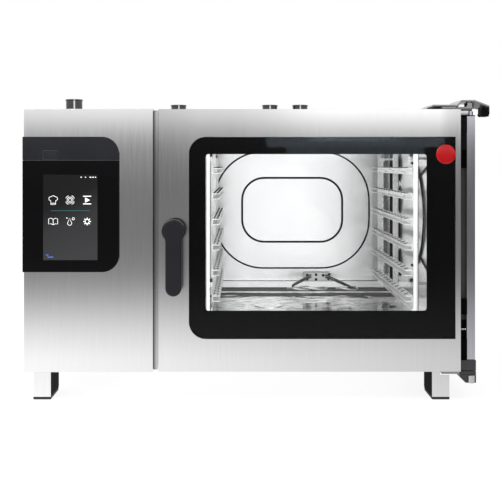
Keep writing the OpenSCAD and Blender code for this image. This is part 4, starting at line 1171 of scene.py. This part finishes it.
def rack(side):
    """Tray rack: folded posts, U-shaped runners with pressed pips painted dark as painted shade for holes, and its
    hooks.
    """
    node = "rack_right" if side > 0 else "rack_left"
    low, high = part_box(node)
    inner = low.x if side > 0 else high.x
    web, post, thick = 20 * MM, 16 * MM, 1.5 * MM

    def wall(u0, u1, y0, y1, z0, z1, edge=0.4 * MM):
        """Block between two distances outward from the rack's inner side."""
        x0, x1 = sorted((inner + side * u0, inner + side * u1))
        return block((x0, y0, z0), (x1, y1, z1), edge)

    shapes, pips = [], []
    y_posts = [low.y, (low.y + high.y) / 2, high.y - 3 * MM]
    for y in y_posts:
        start = web + (6 * MM if side < 0 else 2.5 * MM) if y == low.y else web - 1 * MM
        shapes.append(wall(start, web + post, y, y + 3 * MM, low.z, high.z))
        first, last = (0, 14) if y < high.y - 10 * MM else (-12, 3)
        shapes.append(wall(web + post - 2 * MM, web + post, y + first * MM, y + last * MM,
                           low.z, high.z))
    for level in range(LEVELS):
        z = LEVEL_Z + PITCH * level
        half = RUNNER / 2
        for start, bottom, top in ((web - thick, -half - 2 * MM, half + 2 * MM),
                                   (0, -half, thick - half), (0, half - thick, half)):
            shapes.append(wall(start, web, low.y, high.y, z + bottom, z + top))
        for y in evenly(low.y + 34 * MM, high.y - 26 * MM, PIPS):
            for across, along in ((0.3, 0), (0.75, 18 * MM)):
                pips.append(turned([(0, 2.2), (2, 1.8), (3, 0.6), (3.2, -0.3), (0, -0.3)], "Z",
                                   (inner + side * web * across, y + along, z + half), 10))
    for z in (low.z + 2 * MM, high.z - 8 * MM):
        shapes.append(wall(web - 1 * MM, web + 2 * MM, low.y, high.y, z, z + 6 * MM))
    studs_low, studs_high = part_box("rack_studs")
    for y in (studs_low.y + 4 * MM, studs_high.y - 4 * MM):
        for z in (studs_low.z + 4 * MM, studs_high.z - 4 * MM):
            for first, last, bottom in ((-10, -4.4, -8), (4.4, 10, -8), (-10, 10, 4)):
                shapes.append(wall(web, web + 12 * MM, y + first * MM, y + last * MM,
                                   z + bottom * MM, z + 14 * MM))
    body = BODY_OF[node]
    piece(node + "_frame", shapes, body, "rack_steel", (node,))
    # Painted shade: the pips are dark where the runners' holes would be
    piece(node + "_pips", pips, body, "rack_steel", finish="dark_and_painted_shade")


# Beads: name, insets from left, right, bottom and top, corner radius, thickness, in millimetres
BEADS = [("rear_bead_outer", (74, 73, 81, 41), 163, 2.8),
         ("rear_bead_inner", (166, 164, 170, 130), 75, 3.4)]


def rear_lines():
    """Two pressed beads in the rear wall, painted dark as painted shade for the thin dark lines they show."""
    low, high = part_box("cavity_shell")
    wall_y = high.y - 3.4 * MM
    for name, inset, radius, thick in BEADS:
        outline = rounded((low.x + inset[0] * MM, low.z + inset[2] * MM),
                          (high.x - inset[1] * MM, high.z - inset[3] * MM),
                          [radius * MM] * 4, 14)
        points = [(x, wall_y, z) for x, z in outline]
        piece(name, tube(points, thick * MM, True, 8), "cabinet", "chamber_steel",
              finish="dark_and_painted_shade")


def rear_step():
    """Folds along the foot of the rear wall: a lip, with painted shade in the recess below it and along its folds.
    """
    low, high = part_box("cavity_shell")
    face = high.y - 20.5 * MM
    left, right = low.x + 2 * MM, high.x - 2 * MM
    # Painted shade: a grey band in the recess under the lip
    piece("rear_step_painted_shade", block((left, face - 3 * MM, 178.5 * MM),
                                   (right, face, 190 * MM), 0.8 * MM),
          "cabinet", "chamber_steel", finish="painted_recess_shade")
    # Painted shade: thin dark lines along the folds
    piece("rear_step_painted_crease_shade", [
        block((left, face - 4 * MM, z * MM), (right, face, (z + thick) * MM), 0.4 * MM)
        for z, thick in ((189.5, 2.4), (213.5, 1.8))],
        "cabinet", "chamber_steel", finish="dark_and_painted_shade")


def shell():
    """Chamber sheets; the floor is more polished and wavier than the walls, and the rear wall takes painted shade,
    a darker copy of their steel.
    """
    obj = edged("cavity_shell", 0.3 * MM)
    low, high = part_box("cavity_shell")
    obj.data.materials.append(M["chamber_floor_painted_reflection"])
    obj.data.materials.append(M["chamber_rear_painted_shade"])
    for face in obj.data.polygons:
        corner = obj.data.vertices[face.vertices[0]].co
        if face.normal.z > 0.9 and corner.z < low.z + 6 * MM:
            face.material_index = 1
        elif face.normal.y < -0.9 and corner.y > high.y - 30 * MM:
            face.material_index = 2


# Bolts on the clip plate: X from its middle and height above the floor, in millimetres
CLIP_BOLTS = [(-36, 234), (-36, 220), (-6, 235), (-6, 219), (18, 233), (36, 221), (38, 236)]


def cleaning_arm():
    """Clip plate on the rear step, and two rods that carry flat wire loops."""
    low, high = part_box("rear_rod_bracket")
    middle = (low.x + high.x) / 2
    half = 47 * MM
    bottom, top = 212 * MM, 242 * MM
    face = high.y - 3 * MM
    piece("clip_plate", prism([rounded((middle - half, bottom), (middle + half, top),
                                       [3 * MM] * 4, 4)], "XZ", face, high.y, 0.5 * MM),
          "cabinet", "rod_steel", ("rear_rod_bracket",), finish="plate_silver")
    bolts = [turned([(0, -3.4), (3, -3.2), (4.4, -1.8), (4.8, 0.2), (0, 0.2)], "Y",
                    (middle + x * MM, face, z * MM), 14) for x, z in CLIP_BOLTS]
    piece("clip_plate_bolts", bolts, "cabinet", "rod_steel", finish="dark_and_painted_shade")
    rods, loops = [], []
    for dx, foot_x, foot_z in ((-24, low.x + 20 * MM, 217 * MM),
                               (26, high.x - 19 * MM, 210 * MM)):
        for lift in (0, 7 * MM):
            start = Vector((middle + dx * MM, face - 5 * MM, 227 * MM + lift))
            knee = Vector((foot_x, low.y + 26 * MM, foot_z + lift * 0.6))
            rods.append(tube([start, start.lerp(knee, 0.12) + Vector((0, 0, 2 * MM)),
                              start.lerp(knee, 0.9) + Vector((0, 0, 1.5 * MM)), knee], 2.7 * MM))
    ends = ((low.x + 40 * MM, 38 * MM, 30 * MM), (low.x + 90 * MM, 40 * MM, 16 * MM),
            (high.x - 36 * MM, 34 * MM, 28 * MM))
    for centre_x, half_x, half_y in ends:
        loops.append(tube([(centre_x + half_x * x, low.y + 26 * MM + half_y * y,
                            (212 + 5 * x * y) * MM) for x, y in directions(32)],
                          2.5 * MM, True, 8))
    piece("cleaning_arm_rods", rods, "cabinet", "rod_steel")
    piece("cleaning_arm_loops", loops, "cabinet", "rod_steel", finish="plate_silver")


def air_guides():
    """Guide fins and the pressed ring on the chamber's right wall, painted dark as painted shade and painted
    reflection for the dark marks the wall shows.
    """
    low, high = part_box("cavity_shell")
    wall = high.x - 1.5 * MM
    fins = [block((wall - 11 * MM, high.y - 68 * MM, 222 * MM),
                  (wall, high.y - 66 * MM, high.z - 4 * MM), 0.5 * MM)]
    tall, deep = 92 * MM, 9 * MM
    for z in (250 * MM, 350 * MM, 450 * MM, 550 * MM):
        bow = [(wall - deep * math.sin(math.pi * k / 12) ** 0.5, z + tall * k / 12)
               for k in range(11, 0, -1)]
        fins.append(prism([[(wall, z), (wall, z + tall), *bow]], "XZ",
                          high.y - 215 * MM, high.y - 212 * MM, 0.3 * MM))
    # Painted shade and reflection: the fins take the dark material
    piece("air_guide_fins", fins, "cabinet", "chamber_steel", finish="dark_and_painted_shade")
    centre_y, centre_z = low.y + 300 * MM, 461 * MM
    half_y, half_z = 190 * MM, 150 * MM
    face = wall - 2 * MM
    ring = [(face, centre_y + half_y * math.cos(a), centre_z + half_z * math.sin(a))
            for a in evenly(RIGHT_ANGLE, RIGHT_ANGLE + math.pi, 41)]
    arms = [tube([(face, centre_y - 120 * MM, centre_z + side * 112 * MM),
                  (face, low.y + 30 * MM, centre_z + side * half_z)], 2.4 * MM, sides=8)
            for side in (-1, 1)]
    # Painted shade and reflection: the ring takes the dark material
    piece("side_wall_ring", [tube(ring, 4 * MM, sides=8), *arms], "cabinet",
          "chamber_steel", finish="dark_and_painted_shade")


def chamber():
    """Everything inside the door."""
    edged("suction_panel", 0.4 * MM).data.materials[0] = M["chamber_rear_painted_shade"]
    edged("drain_grate", 0.4 * MM)
    edged("door_gasket", 2.2 * MM, 3)
    shell()
    rear_lines()
    rear_step()
    rack(-1)
    rack(1)
    cleaning_arm()
    air_guides()


def fittings():
    """Working parts behind the chamber and in the column."""
    for node in ("water_inlets", "drain_pipe", "cable_gland", "fan_motor", "water_valves",
                 "control_board", "contactor_block", "cooling_fan_housing", "drain_box",
                 "steam_generator", "fan_wheel"):
        edged(node, 0.5 * MM)


def dress_nodes():
    """Gives every CAD node that is still shown its slot's material."""
    for node, obj in frame["nodes"].items():
        obj.data.materials.clear()
        obj.data.materials.append(M[SLOT_OF[node]])
        obj.data.shade_smooth()
        obj.data.set_sharp_from_angle(angle=math.radians(30))


camera()
surroundings()
floor()
dress_nodes()
casing()
pipes()
screws()
rear_details()
controls()
door()
handle()
hinge()
chamber()
fittings()
lights()
